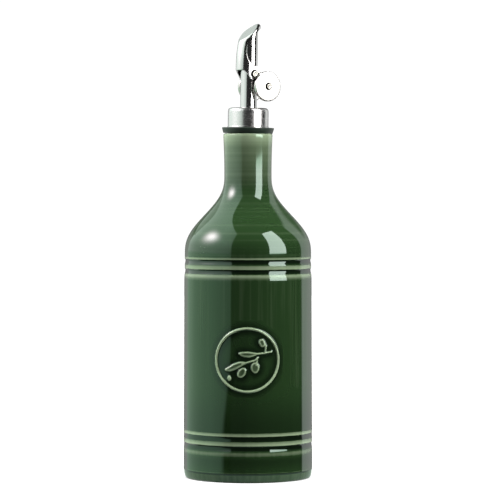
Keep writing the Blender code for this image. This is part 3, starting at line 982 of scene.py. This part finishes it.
@dataclass(frozen=True)
class Stopper:
    """Rubber flange on the rim and the pressed steel collar that stands on it."""

    flange_radius: float = 15.1 * MM
    flange_foot_radius: float = 14.25 * MM
    flange_foot: float = 0.12 * MM
    flange_top: float = 3.45 * MM
    collar_radius: float = 11.8 * MM
    collar_top: float = 14.8 * MM
    collar_fillet: float = 2.6 * MM
    collar_bead: float = 0.22 * MM
    collar_bead_height: float = 0.75 * MM
    collar_dish: float = 0.35 * MM
    seat_depth: float = 0.35 * MM
    tube_radius: float = 4.83 * MM
    tube_gap: float = 0.03 * MM
    flange_segments: int = 128
    collar_segments: int = 160

    def build(self, place: Matrix, rubber: bpy.types.Material, steel: bpy.types.Material) -> None:
        """Build the flange and the collar.

        Args:
            place: The pourer's axes at the mouth.
            rubber: The flange's material.
            steel: The collar's material.
        """
        flange = rounded(
            (
                (0.0, self.flange_foot, 0.0),
                (self.flange_foot_radius, self.flange_foot, 0.35 * MM),
                (self.flange_radius - 0.12 * MM, self.flange_top - 0.9 * MM, 0.3 * MM),
                (self.flange_radius, self.flange_top - 0.1 * MM, 0.4 * MM),
                (self.collar_radius + 0.9 * MM, self.flange_top, 0.3 * MM),
                (self.collar_radius + 0.3 * MM, self.flange_top - self.seat_depth, 0.2 * MM),
                (0.0, self.flange_top - self.seat_depth, 0.0),
            )
        )
        made = mesh_object("rubber_flange", lathe(flange, self.flange_segments), place)
        finish_piece(made, Body.BOTTLE, Slot.RUBBER, (rubber,), "stopper_flange")

        foot, bore = self.flange_top - 0.3 * MM, self.tube_radius + self.tube_gap
        bead_radius = self.collar_radius + self.collar_bead
        collar = rounded(
            (
                (bore, foot, 0.0),
                (bead_radius, foot, 0.25 * MM),
                (bead_radius, foot + self.collar_bead_height, 0.25 * MM),
                (self.collar_radius, foot + self.collar_bead_height + 0.25 * MM, 0.3 * MM),
                (self.collar_radius, self.collar_top, self.collar_fillet),
                (self.tube_radius + 2.2 * MM, self.collar_top, 0.5 * MM),
                (self.tube_radius + 1.5 * MM, self.collar_top - self.collar_dish, 0.4 * MM),
                (bore, self.collar_top - self.collar_dish, 0.0),
            ),
            steps=10,
            closed=True,
        )
        made = mesh_object("steel_collar", lathe(collar, self.collar_segments, closed=True), place)
        finish_piece(made, Body.BOTTLE, Slot.STEEL, (steel,), "collar")


@dataclass(frozen=True)
class FlapShape:
    """Sizes that the tube's mouth and the flap share, measured from the hinge: x ahead, z up."""

    sheet: float = 0.7 * MM
    half_width: float = 5.9 * MM
    front_low_mm: float = 8.12
    front_curl: float = 2.2e-4
    lid_tip: Point = (-6.6 * MM, 30.95 * MM)
    lid_bend: Point = (7.1 * MM, 18.8 * MM)
    lid_to_mouth: float = 0.5 * MM
    ear_hole: float = 1.28 * MM
    weight_centre: Point = (-7.24 * MM, -6.9 * MM)

    @property
    def slope(self) -> float:
        """Fall of the lid for each metre ahead."""
        return (self.lid_bend[1] - self.lid_tip[1]) / (self.lid_bend[0] - self.lid_tip[0])

    @property
    def to_weight(self) -> Matrix:
        """Shift from the hinge to the weight's middle."""
        return Matrix.Translation((self.weight_centre[0], 0.0, self.weight_centre[1]))

    def lid_height(self, x: float, below: float = 0.0) -> float:
        """Height of the lid's outer plane at x, or of a plane this far under it."""
        return self.lid_tip[1] + self.slope * (x - self.lid_tip[0]) - below * math.hypot(1.0, self.slope)

    def front(self, z: float) -> float:
        """How far ahead the hood's front lies: nearly upright at the lip, then curving back."""
        return (self.front_low_mm - self.front_curl * max(z / MM, 0.0) ** 3) * MM


@dataclass(frozen=True)
class SpoutTube:
    """Drawn steel tube with a slanted, deburred mouth."""

    shape: FlapShape
    radius: float = 4.83 * MM
    bore: float = 4.2 * MM
    foot: float = 3.7 * MM
    deburr: float = 0.12 * MM
    segments: int = 128
    rows: tuple[float, ...] = (0.0, 0.2, 0.4, 0.6, 0.75, 0.87, 0.95)

    def build(self, pourer: PourerFrame, steel: bpy.types.Material) -> None:
        """Build the tube, its rim following the slant of the lid.

        Args:
            pourer: The pourer's place.
            steel: The tube's material.
        """
        below = self.shape.sheet + self.shape.lid_to_mouth
        bm = bmesh.new()
        columns = []
        for step in range(self.segments):
            angle = math.tau * step / self.segments
            c, s = math.cos(angle), math.sin(angle)
            mouth = pourer.hinge_height + self.shape.lid_height(self.radius * c, below)
            inner_mouth = pourer.hinge_height + self.shape.lid_height(self.bore * c, below)
            length, inner_length = (top - self.deburr - self.foot for top in (mouth, inner_mouth))
            loop = [(self.radius, self.foot + length * t) for t in (*self.rows, 1.0)]
            loop += [
                (self.radius - 0.35 * self.deburr, mouth - 0.3 * self.deburr),
                (self.radius - self.deburr, mouth),
                (self.bore + self.deburr, inner_mouth),
                (self.bore, inner_mouth - self.deburr),
            ]
            loop += [(self.bore, self.foot + inner_length * t) for t in reversed(self.rows)]
            columns.append([bm.verts.new((r * c, r * s, z)) for r, z in loop])
        for column, following in zip(columns, columns[1:] + columns[:1]):
            for row in range(len(column)):
                other = (row + 1) % len(column)
                bm.faces.new((column[row], following[row], following[other], column[other]))
        made = mesh_object("spout_tube_drawn", bm, pourer.at(pourer.mouth))
        finish_piece(made, Body.BOTTLE, Slot.STEEL, (steel,), "spout_tube")


@dataclass(frozen=True)
class Flap:
    """Hood folded from sheet: a half round front, a flat lid, cut-out sides, ears and rear arms.

    ear_front_mm and window_mm are points of the side view, from the hinge: x ahead, z up.
    """

    shape: FlapShape
    middle_low: float = 2.0 * MM
    middle_high: float = 0.6 * MM
    straight_length: float = 16.0 * MM
    side_rounding: float = 1.0 * MM
    tip_rounding: float = 2.9 * MM
    tip_share: Pair = (0.1, 0.85)
    least_rounding: float = 0.25 * MM
    middle_rise: Pair = (9.0 * MM, 18.0 * MM)
    oval_rise: Pair = (8.0 * MM, 14.0 * MM)
    edge_rounding: float = 0.13 * MM
    ear_centre: Point = (-0.4 * MM, -1.5 * MM)
    ear_radius: float = 3.1 * MM
    crook_centre: Point = (-0.4 * MM, 0.2 * MM)
    crook_radius: float = 4.2 * MM
    arm_half_width: float = 2.4 * MM
    arm_hole: float = 1.22 * MM
    column_foot: float = -14.0 * MM
    round_steps: int = 104
    levels: int = 30
    bends: int = 7
    ear_front_mm: tuple[Point, ...] = ((6.3, 2.2), (4.2, -0.2), (2.2, -2.9), (1.2, -4.1))
    window_mm: tuple[Point, ...] = (
        (1.6, 4.5),
        (3.25, 6.75),
        (4.85, 9.0),
        (5.95, 11.3),
        (6.18, 13.2),
        (5.9, 15.4),
        (5.3, 17.4),
        (4.25, 19.1),
        (2.1, 21.0),
        (-1.05, 23.8),
        (-3.5, 25.5),
        (-7.5, 28.2),
    )

    def middle(self, z: float) -> float:
        """Where the hood is widest: further ahead low down, where its front is a true half round."""
        rise = float(smoothstep(z, *self.middle_rise))
        return self.middle_low + (self.middle_high - self.middle_low) * rise

    def section(self, angle: float, z: float, inset: float) -> Point:
        """Find a point of the hood's section: oval at the lid, with straight sides for ears and arms.

        Args:
            angle: Bearing round the section from straight ahead.
            z: Height of the section.
            inset: Distance inside the outer face.

        Returns:
            The point as (ahead, aside).
        """
        c, s = math.cos(angle), math.sin(angle)
        half = self.shape.half_width - inset
        middle = self.middle(z)
        if c >= 0.0:
            return (middle + (self.shape.front(z) - inset - middle) * c, half * s)
        length = middle - self.shape.lid_tip[0] - inset
        side = max(-1.0, min(1.0, 3.0 * s))
        oval = float(smoothstep(z, *self.oval_rise))
        x = middle + (oval * length + (1.0 - oval) * self.straight_length) * c
        return (x, half * (oval * s + (1.0 - oval) * side))

    def column_points(self, angle: float, inset: float) -> list[Corner]:
        """Draw one upright line of the hood, with its rounded upper end.

        Args:
            angle: Bearing round the section from straight ahead.
            inset: Distance inside the outer face.

        Returns:
            The line's points from its foot to the lid.
        """
        shape = self.shape
        top = 22.0 * MM
        for _ in range(12):  # closes in on where this line meets the lid's plane
            top = 0.5 * top + 0.5 * shape.lid_height(self.section(angle, top, inset)[0], inset)
        x, y = self.section(angle, top, inset)
        toward = Vector((self.middle(top) - x, -y)).normalized()
        tip = float(smoothstep(-math.cos(angle), *self.tip_share))
        radius = self.side_rounding + (self.tip_rounding - self.side_rounding) * tip
        radius = max(radius - inset, self.least_rounding)
        shoulder = shape.lid_height(x, inset) - radius
        points = []
        for level in range(self.levels):
            z = self.column_foot + (shoulder - self.column_foot) * level / (self.levels - 1)
            points.append((*self.section(angle, z, inset), z))
        for bend in range(1, self.bends + 1):
            turn = 0.5 * math.pi * bend / self.bends
            inward = radius * (1.0 - math.cos(turn))
            px, py = x + toward.x * inward, y + toward.y * inward
            points.append((px, py, shape.lid_height(px, inset) - radius * (1.0 - math.sin(turn))))
        return points

    def column(self, name: str, inset: float, place: Matrix) -> bpy.types.Object:
        """Build the solid column under the lid's plane.

        Args:
            name: The object's name.
            inset: Distance inside the outer face.
            place: The pourer's axes at the hinge.

        Returns:
            The column, closed, its upper edge rounded and most so at the tip.
        """
        bm = bmesh.new()
        columns = []
        for step in range(self.round_steps):
            points = self.column_points(math.tau * step / self.round_steps, inset)
            columns.append([bm.verts.new(point) for point in points])
        for column, following in zip(columns, columns[1:] + columns[:1]):
            for row in range(len(column) - 1):
                bm.faces.new((column[row], following[row], following[row + 1], column[row + 1]))
        bm.faces.new([column[0] for column in reversed(columns)])
        bm.faces.new([column[-1] for column in columns])
        return mesh_object(name, bm, place)

    def side_outline(self) -> list[Point]:
        """Draw the side view of the flap: the cut-out window, the ears and the arms to the weight.

        Returns:
            The outline's points.
        """
        ahead, above = 14.0 * MM, 34.0 * MM
        ear = arc(self.ear_centre, self.ear_radius, -55.0, -110.0, 8)
        arm = arc(self.shape.weight_centre, self.arm_half_width, -55.0, -235.0, 24)
        crook = arc(self.crook_centre, self.crook_radius, 150.0, 78.0, 12)
        points = [(ahead, above), (ahead, self.ear_front_mm[0][1] * MM)]
        points += [(x * MM, z * MM) for x, z in smooth_path(self.ear_front_mm, 6)]
        points += ear + arm + crook
        points += [(x * MM, z * MM) for x, z in smooth_path(self.window_mm, 5)]
        points.append((self.window_mm[-1][0] * MM, above))
        return points

    def plate(self, name: str, points: Sequence[Point], place: Matrix) -> bpy.types.Object:
        """Extrude a side view across the whole width.

        Args:
            name: The object's name.
            points: The side view.
            place: The pourer's axes at the hinge.

        Returns:
            The plate.
        """
        reach = 20.0 * MM
        bm = bmesh.new()
        face = bm.faces.new([bm.verts.new((x, -reach, z)) for x, z in points])
        out = bmesh.ops.extrude_face_region(bm, geom=[face])
        moved = [item for item in out["geom"] if isinstance(item, bmesh.types.BMVert)]
        bmesh.ops.translate(bm, verts=moved, vec=(0.0, 2.0 * reach, 0.0))
        return mesh_object(name, bm, place)

    def drill(self, name: str, radius: float, place: Matrix) -> bpy.types.Object:
        """Build a drill along the hinge's direction.

        Args:
            name: The object's name.
            radius: The hole's radius.
            place: The pourer's axes at the hole's middle.

        Returns:
            The drill.
        """
        reach = 14.0 * MM
        bm = lathe([(0.0, -reach), (radius, -reach), (radius, reach), (0.0, reach)], 48)
        return mesh_object(name, bm, place @ ALONG_HINGE)

    def build(self, pourer: PourerFrame, steel: bpy.types.Material) -> None:
        """Cut the sheet shape from its columns and round its edges.

        Args:
            pourer: The pourer's place.
            steel: The flap's material.
        """
        place = pourer.at(pourer.hinge)
        made = self.column("flap_hood", 0.0, place)
        operands = [
            (self.plate("side_view", self.side_outline(), place), "INTERSECT"),
            (self.column("hood_inside", self.shape.sheet, place), "DIFFERENCE"),
            (self.drill("ear_drill", self.shape.ear_hole, place), "DIFFERENCE"),
            (self.drill("arm_drill", self.arm_hole, place @ self.shape.to_weight), "DIFFERENCE"),
        ]
        for operand, operation in operands:
            step = made.modifiers.new(operand.name, "BOOLEAN")
            step.operation = operation
            step.solver = "EXACT"
            step.object = operand
        edge = made.modifiers.new("deburred_edge", "BEVEL")
        edge.width = self.edge_rounding
        edge.segments = 2
        edge.limit_method = "ANGLE"
        edge.angle_limit = math.radians(40.0)
        bake_modifiers(made, [operand for operand, _ in operands])
        made.data.shade_smooth()
        made.data.set_sharp_from_angle(angle=math.radians(50.0))
        made.modifiers.new("even_shading", "WEIGHTED_NORMAL").keep_sharp = True
        finish_piece(made, Body.FLAP, Slot.STEEL, (steel,), "flap")


@dataclass(frozen=True)
class Rivets:
    """Turned rivets with a domed, dimpled head."""

    shape: FlapShape
    shank: float = 1.2 * MM
    pivot_head: float = 2.7 * MM
    pivot_head_height: float = 1.0 * MM
    pivot_root: float = 4.8 * MM
    pivot_gap: float = 0.06 * MM
    weight_head: float = 2.3 * MM
    weight_head_height: float = 0.95 * MM
    weight_spacer: float = 2.04 * MM
    weight_inner: float = 7.2 * MM
    weight_outer: float = 9.8 * MM
    segments: int = 48

    def head(self, radius: float, face: float, height: float) -> list[Corner]:
        """Draw a head from its rim to the middle of its dimple.

        Args:
            radius: The head's radius.
            face: Where it starts along the shank.
            height: How far it stands out.

        Returns:
            The corners as (radius, place along the shank, rounding).
        """
        top = face + height
        return [
            (radius, face, 0.08 * MM),
            (radius, face + 0.12 * height, 0.1 * MM),
            (0.62 * radius, top, 0.3 * MM),
            (0.4 * radius, top - 0.02 * MM, 0.1 * MM),
            (0.2 * radius, top - 0.14 * MM, 0.1 * MM),
            (0.0, top - 0.16 * MM, 0.0),
        ]

    def build(self, pourer: PourerFrame, steel: bpy.types.Material) -> None:
        """Build the two pivot rivets and the weight's rivet.

        Args:
            pourer: The pourer's place.
            steel: The rivets' material.
        """
        place, shank = pourer.at(pourer.hinge), self.shank
        face = self.shape.half_width + self.pivot_gap
        corners = [(0.0, self.pivot_root, 0.0), (shank, self.pivot_root, 0.0), (shank, face, 0.0)]
        pivot = rounded(corners + self.head(self.pivot_head, face, self.pivot_head_height))
        for side in ("near", "far"):
            flip = Matrix.Rotation(math.pi if side == "far" else 0.0, 4, "Z")
            made = mesh_object(f"{side}_pivot", lathe(pivot, self.segments), place @ flip @ ALONG_HINGE)
            finish_piece(made, Body.BOTTLE, Slot.STEEL, (steel,), f"pivot_rivet_{side}")

        spacer_foot, spacer_end = self.shape.half_width + 0.01 * MM, self.weight_inner - 0.01 * MM
        outer = self.weight_outer + 0.02 * MM
        half = rounded(
            [
                (shank, 0.0, 0.0),
                (shank, spacer_foot, 0.0),
                (self.weight_spacer, spacer_foot, 0.0),
                (self.weight_spacer, spacer_end, 0.0),
                (shank, spacer_end, 0.0),
                (shank, outer, 0.0),
                *self.head(self.weight_head, outer, self.weight_head_height),
            ]
        )[1:]
        whole = [(radius, -height) for radius, height in reversed(half)] + half
        place = place @ self.shape.to_weight @ ALONG_HINGE
        made = mesh_object("weight_rivet_turned", lathe(whole, self.segments), place)
        finish_piece(made, Body.FLAP, Slot.STEEL, (steel,), "weight_rivet")


@dataclass(frozen=True)
class Counterweight:
    """Pair of turned steel discs on the outer sides of the arms."""

    shape: FlapShape
    radius: float = 8.67 * MM
    inner: float = 7.2 * MM
    outer: float = 9.8 * MM
    bore: float = 1.23 * MM
    edge: float = 0.75 * MM
    crown: float = 0.22 * MM
    crown_steps: int = 8
    segments: int = 128

    def build(self, pourer: PourerFrame, steel: bpy.types.Material) -> None:
        """Build both discs with their rounded rims and slightly domed faces.

        Args:
            pourer: The pourer's place.
            steel: The discs' material.
        """
        shares = [step / self.crown_steps for step in reversed(range(self.crown_steps))]
        face = [(self.radius * share, self.outer - self.crown * share**2, 0.0) for share in shares]
        profile = rounded(
            (
                (self.bore, self.inner, 0.0),
                (self.radius, self.inner, self.edge),
                (self.radius, self.outer - self.crown, self.edge),
                *(corner for corner in face if corner[0] > self.bore),
                (self.bore, self.outer, 0.0),
            ),
            steps=8,
            closed=True,
        )
        place = pourer.at(pourer.hinge) @ self.shape.to_weight
        for side in ("near", "far"):
            flip = Matrix.Rotation(math.pi if side == "far" else 0.0, 4, "Z")
            disc = lathe(profile, self.segments, closed=True)
            made = mesh_object(f"{side}_disc", disc, place @ flip @ ALONG_HINGE)
            finish_piece(made, Body.FLAP, Slot.STEEL, (steel,), f"weight_{side}")


@dataclass(frozen=True)
class Softbox:
    """A lit panel that shows as a reflection only, brighter round its lamp.

    Bearings are in degrees from the camera's side, positive to the right. The glow falls by fade towards
    the right end. It is multiplied by foot_share below foot_rise and by head_share above head_rise. Near
    the table the right end draws in by foot_inset.
    """

    name: str
    bearing_deg: float
    distance: float
    half_width: float
    low: float
    high: float
    glow: float
    fade: float = 0.0
    fade_from: float = 0.2
    foot_share: float = 1.0
    foot_rise: Pair = (0.10, 0.17)
    head_share: float = 1.0
    head_rise: Pair = (0.3, 0.8)
    foot_inset: float = 0.0
    inset_rise: Pair = (-0.07, 0.0)
    inset_softness: float = 0.25
    lamp: float = 0.0
    lamp_height: float = 0.0
    lamp_spread: float = 0.2
    colour: str = "#F5FFFA"
    foot_colour: str = "#DFFFE8"
    lamp_colour: str = "#FFDDEE"

    def material(self, across: Vector, centre: Vector) -> bpy.types.Material:
        """Make the panel's glow and that of its lamp.

        Args:
            across: Direction along the panel's width, to the right.
            centre: The panel's middle, on the table's level.

        Returns:
            The material.
        """
        made, tree = empty_material(self.name)
        place = add_node(tree, "TexCoord").outputs["Object"]
        along = add_node(tree, "VectorMath", {0: place, 1: across}, operation="DOT_PRODUCT")
        side = along.outputs["Value"]
        height = add_node(tree, "SeparateXYZ", {0: place}).outputs[2]
        rise_from, rise_to = self.inset_rise
        limits = {"From Min": rise_from, "From Max": rise_to, "To Min": self.foot_inset, "To Max": 0.0}
        inset = add_node(tree, "MapRange", {"Value": height, **limits})
        reach = add_node(tree, "Math", {0: side, 1: inset}, operation="ADD")
        edge = self.half_width
        ranges = (
            (side, (edge, self.fade_from * edge), (self.glow * (1.0 - self.fade), self.glow)),
            (height, self.foot_rise, (self.foot_share, 1.0)),
            (height, self.head_rise, (1.0, self.head_share)),
            (reach, (edge, edge + self.inset_softness), (1.0, 0.0)),
        )
        level: Any = 1.0
        for value, (from_min, from_max), (to_min, to_max) in ranges:
            limits = {"From Min": from_min, "From Max": from_max, "To Min": to_min, "To Max": to_max}
            share = add_node(tree, "MapRange", {"Value": value, **limits})
            level = add_node(tree, "Math", {0: level, 1: share}, operation="MULTIPLY")

        # A bell curve round the lamp.
        lamp_place = centre + Vector((0.0, 0.0, self.lamp_height))
        gap = add_node(tree, "VectorMath", {0: place, 1: lamp_place}, operation="DISTANCE")
        ratio = add_node(tree, "Math", {0: gap.outputs["Value"], 1: self.lamp_spread}, operation="DIVIDE")
        square = add_node(tree, "Math", {0: ratio, 1: ratio}, operation="MULTIPLY")
        fall = add_node(tree, "Math", {0: square, 1: -0.5}, operation="MULTIPLY")
        bell = add_node(tree, "Math", {0: fall}, operation="EXPONENT")
        hot = add_node(tree, "Math", {0: bell, 1: self.lamp}, operation="MULTIPLY")

        low, high = self.foot_rise
        rise = add_node(tree, "MapRange", {"Value": height, "From Min": low, "From Max": high})
        colours = {6: linear(self.foot_colour), 7: linear(self.colour)}
        tint = add_node(tree, "Mix", {0: rise, **colours}, data_type="RGBA")
        sheet = add_node(tree, "Emission", {"Color": tint.outputs[2], "Strength": level})
        bulb = add_node(tree, "Emission", {"Color": linear(self.lamp_colour), "Strength": hot})
        add_node(tree, "OutputMaterial", {"Surface": add_node(tree, "AddShader", {0: sheet, 1: bulb})})
        return made

    def build(self) -> None:
        """Build the panel, facing the object."""
        bearing = math.radians(self.bearing_deg)
        outward = Vector((math.sin(bearing), -math.cos(bearing), 0.0))
        across = Vector((math.cos(bearing), math.sin(bearing), 0.0))
        centre = outward * self.distance
        corners = []
        for side, z in ((-1, self.low), (1, self.low), (1, self.high), (-1, self.high)):
            corners.append(centre + across * (side * self.half_width) + Vector((0.0, 0.0, z)))
        mesh = bpy.data.meshes.new(self.name)
        mesh.from_pydata(corners, [], [(0, 1, 2, 3)])
        mesh.materials.append(self.material(across, centre))
        panel = link_object(self.name, mesh)
        panel.visible_camera = False
        panel.visible_diffuse = False
        panel.visible_shadow = False


@dataclass(frozen=True)
class FillLight:
    """A soft area light that shades the object without showing in its gloss.

    Its strength is its level on a surface that faces it.
    """

    name: str
    bearing_deg: float
    rise_deg: float
    distance: float
    size: float
    strength: float
    aim_height: float = 0.12

    def build(self) -> None:
        """Build the light, aimed at the bottle's middle."""
        bearing, rise = math.radians(self.bearing_deg), math.radians(self.rise_deg)
        level = math.cos(rise)
        way = Vector((math.sin(bearing) * level, -math.cos(bearing) * level, math.sin(rise)))
        data = bpy.data.lights.new(self.name, "AREA")
        data.shape = "DISK"
        data.size = self.size
        data.energy = self.strength * math.pi**2 * self.distance**2
        lamp = link_object(self.name, data)
        lamp.location = way * self.distance + Vector((0.0, 0.0, self.aim_height))
        lamp.rotation_euler = way.to_track_quat("Z", "Y").to_euler()
        lamp.visible_camera = False
        lamp.visible_glossy = False


@dataclass(frozen=True)
class Studio:
    """White table and backdrop, a wide scrim on the left, a tall window on the right and the camera.

    Reflections and matte shading are lit apart: panels show in the gloss only, and fills shade only. The
    backdrop's white runs between two bearings at each side; a dark gap high up behind keeps the steel's
    rear edges dark. The heights of that gap, gap_low and gap_high, are rises in radians.
    """

    camera_distance: float = 1.65
    camera_height: float = 0.172
    camera_side: float = 0.0012
    pitch_deg: float = 1.4
    lens_mm: float = 205.2
    sensor_mm: float = 36.0
    furthest: float = 20.0
    dark_glow: float = 0.035
    white_glow: float = 1.4
    seen_glow: float = 1.05
    shading_glow: float = 0.10
    backdrop_from_deg: float = 114.0
    backdrop_to_deg: float = 176.0
    backdrop_edge: float = 0.03
    backdrop_top_deg: float = 45.0
    backdrop_top_edge: Pair = (-0.02, 0.04)
    gap_from_deg: float = 136.0
    gap_to_deg: float = 146.0
    gap_low: float = 0.2
    gap_high: float = 0.35
    gap_depth: float = 0.85
    floor_radius: float = 2.6
    floor_colour: str = "#9A9A9A"
    # The floor's glow rises with distance from the bottle: low close by as a painted contact shadow.
    painted_shadow_reach: Pair = (0.05, 0.45)
    floor_glow_with_painted_shadow: Pair = (0.62, 1.2)
    patch_radii: Pair = (36.1 * MM, 62.0 * MM)
    patch_height: float = 0.15 * MM
    patch_colour: str = "#E8FFF0"
    patch_glow: float = 0.72
    panels: tuple[Softbox, ...] = (
        Softbox(
            "left_scrim",
            bearing_deg=-85.0,
            distance=1.0,
            half_width=1.412,
            low=-0.3,
            high=2.85,
            glow=1.42,
            fade=0.47,
            foot_share=0.73,
            head_share=1.5,
            foot_inset=0.7,
            lamp=18.0,
            lamp_height=0.9,
            lamp_spread=0.2,
        ),
        Softbox(
            "right_window",
            bearing_deg=56.5,
            distance=1.6,
            half_width=0.49,
            low=0.127,
            high=2.7,
            glow=9.3,
            foot_share=0.5,
            colour="#FFFAFB",
        ),
        Softbox(
            "rear_left_card",
            bearing_deg=-152.0,
            distance=1.5,
            half_width=0.5,
            low=0.7,
            high=1.75,
            glow=1.0,
        ),
    )
    fills: tuple[FillLight, ...] = (
        FillLight("left_fill", bearing_deg=-96.0, rise_deg=12.0, distance=1.5, size=0.6, strength=1.5),
        FillLight("right_fill", bearing_deg=63.0, rise_deg=12.0, distance=1.5, size=0.6, strength=1.12),
        FillLight("front_fill", bearing_deg=12.0, rise_deg=52.0, distance=2.0, size=1.2, strength=0.26),
        FillLight("ceiling_fill", bearing_deg=0.0, rise_deg=88.0, distance=2.0, size=1.2, strength=2.2),
    )

    def world(self) -> None:
        """White behind the object, dark behind the camera; the camera itself always sees white."""
        world = bpy.data.worlds.new("studio_white")
        world.use_nodes = True
        tree = world.node_tree
        tree.nodes.clear()
        way = add_node(tree, "TexCoord").outputs["Generated"]
        parts = add_node(tree, "SeparateXYZ", {0: way})
        toward = add_node(tree, "Math", {0: parts.outputs[1], 1: -1.0}, operation="MULTIPLY")
        bearing = add_node(tree, "Math", {0: parts.outputs[0], 1: toward}, operation="ARCTAN2")
        turned, rise = add_node(tree, "Math", {0: bearing}, operation="ABSOLUTE"), parts.outputs[2]

        start, end = math.radians(self.backdrop_from_deg), math.radians(self.backdrop_to_deg)
        top = math.sin(math.radians(self.backdrop_top_deg))
        gap_start, gap_end = math.radians(self.gap_from_deg), math.radians(self.gap_to_deg)
        gap_low, gap_high = math.sin(self.gap_low), math.sin(self.gap_high)
        names = ("Value", "From Min", "From Max", "To Min", "To Max")
        fall, edge, under_top, rear, raised = (
            add_node(tree, "MapRange", dict(zip(names, values)))
            for values in (
                (turned, start, end, self.white_glow, 2.0 * self.dark_glow),
                (turned, start - self.backdrop_edge, start + self.backdrop_edge, 0.0, 1.0),
                (rise, top + self.backdrop_top_edge[0], top + self.backdrop_top_edge[1], 1.0, 0.0),
                (turned, gap_start, gap_end, 0.0, 1.0),
                (rise, gap_low, gap_high, 0.0, self.gap_depth),
            )
        )
        gap = add_node(tree, "Math", {0: rear, 1: raised}, operation="MULTIPLY")
        kept = add_node(tree, "Math", {0: 1.0, 1: gap}, operation="SUBTRACT")
        share = add_node(tree, "Math", {0: edge, 1: under_top}, operation="MULTIPLY")
        share = add_node(tree, "Math", {0: share, 1: kept}, operation="MULTIPLY")
        white = add_node(tree, "Mix", {0: share, 2: self.dark_glow, 3: fall}, data_type="FLOAT")

        rays = add_node(tree, "LightPath").outputs
        shading, seen = rays["Is Diffuse Ray"], rays["Is Camera Ray"]
        soft = add_node(tree, "Mix", {0: shading, 2: white, 3: self.shading_glow}, data_type="FLOAT")
        strength = add_node(tree, "Mix", {0: seen, 2: soft, 3: self.seen_glow}, data_type="FLOAT")
        light = add_node(tree, "Background", {"Color": linear("#FFFFFF"), "Strength": strength})
        add_node(tree, "OutputWorld", {"Surface": light})
        bpy.context.scene.world = world

    def floor(self) -> None:
        """Lay a wide round sheet of card under the bottle, white further out; close to it the glow is
        lowered, a painted contact shadow.
        """
        bm = bmesh.new()
        bmesh.ops.create_circle(bm, cap_ends=True, segments=96, radius=self.floor_radius)
        mesh = bpy.data.meshes.new("white_floor")
        bm.to_mesh(mesh)
        bm.free()
        made, tree = empty_material("white_card")
        shade = add_node(tree, "BsdfDiffuse", {"Color": linear(self.floor_colour)})
        place = add_node(tree, "TexCoord").outputs["Object"]
        away = add_node(tree, "VectorMath", {0: place}, operation="LENGTH").outputs["Value"]
        # Painted contact shadow: the glow rises from near the bottle to white further out.
        (near, far), (painted_shadow_glow, far_glow) = self.painted_shadow_reach, self.floor_glow_with_painted_shadow
        limits = {"From Min": near, "From Max": far, "To Min": painted_shadow_glow, "To Max": far_glow}
        fade_out = add_node(tree, "MapRange", {"Value": away, **limits})
        glow = add_node(tree, "Emission", {"Color": linear("#FFFFFF"), "Strength": fade_out})
        add_node(tree, "OutputMaterial", {"Surface": add_node(tree, "AddShader", {0: shade, 1: glow})})
        mesh.materials.append(made)
        floor = link_object("white_floor", mesh)
        floor.visible_glossy = False
        floor.visible_diffuse = False

    def table_patch(self) -> None:
        """Light the ring of table that the bevelled foot mirrors."""
        bm = lathe([(radius, self.patch_height) for radius in self.patch_radii], 96)
        mesh = bpy.data.meshes.new("table_patch")
        bm.to_mesh(mesh)
        bm.free()
        made, tree = empty_material("lit_table")
        light = {"Color": linear(self.patch_colour), "Strength": self.patch_glow}
        glow = add_node(tree, "Emission", light)
        add_node(tree, "OutputMaterial", {"Surface": glow})
        mesh.materials.append(made)
        patch = link_object("table_patch", mesh)
        patch.visible_camera = False
        patch.visible_diffuse = False
        patch.visible_shadow = False

    def camera(self) -> None:
        """Set up a long lens a little above the middle of the bottle."""
        data = bpy.data.cameras.new("photo_camera")
        data.lens = self.lens_mm
        data.sensor_width = self.sensor_mm
        data.clip_end = self.furthest
        made = link_object("photo_camera", data)
        made.location = (self.camera_side, -self.camera_distance, self.camera_height)
        made.rotation_euler = (math.radians(90.0 - self.pitch_deg), 0.0, 0.0)
        bpy.context.scene.camera = made

    def build(self) -> None:
        """Set up light, table and camera."""
        bpy.context.scene.view_settings.view_transform = "Standard"
        self.world()
        self.floor()
        self.table_patch()
        for source in (*self.panels, *self.fills):
            source.build()
        self.camera()


def main() -> None:
    """Build the bottle, its pourer and the studio."""
    logging.basicConfig(level=logging.INFO)
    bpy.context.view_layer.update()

    glaze = CeladonGlaze().build()
    biscuit = Biscuit().build()
    rubber = MouldedRubber().build()
    drawn = StainlessSteel("drawn_steel_tube", "#C3C4C2", roughness=0.15, spread=0.01).build()
    brushed = StainlessSteel("brushed_steel_collar", "#C3C4C2", roughness=0.26, spread=0.015).build()
    polished = StainlessSteel("polished_pressed_steel", "#C3C4C2", roughness=0.14, spread=0.01).build()
    # The rivets' steel is darker than the rest: painted shade for the dark ring round their heads.
    rivet_steel_with_painted_shade = StainlessSteel("rivet_steel_darkened_as_painted_shade", "#86867F", roughness=0.2, spread=0.02).build()
    turned = StainlessSteel("turned_steel", "#B9B9B4", roughness=0.26, spread=0.02).build()

    pourer = PourerFrame.from_packed(frame)
    shape = FlapShape()
    Bottle(mouth_height=pourer.mouth.z).build(glaze, biscuit)
    Stopper().build(pourer.at(pourer.mouth), rubber, brushed)
    SpoutTube(shape).build(pourer, drawn)
    Flap(shape).build(pourer, polished)
    Rivets(shape).build(pourer, rivet_steel_with_painted_shade)
    Counterweight(shape).build(pourer, turned)
    Studio().build()


if __name__ == "__main__":
    main()
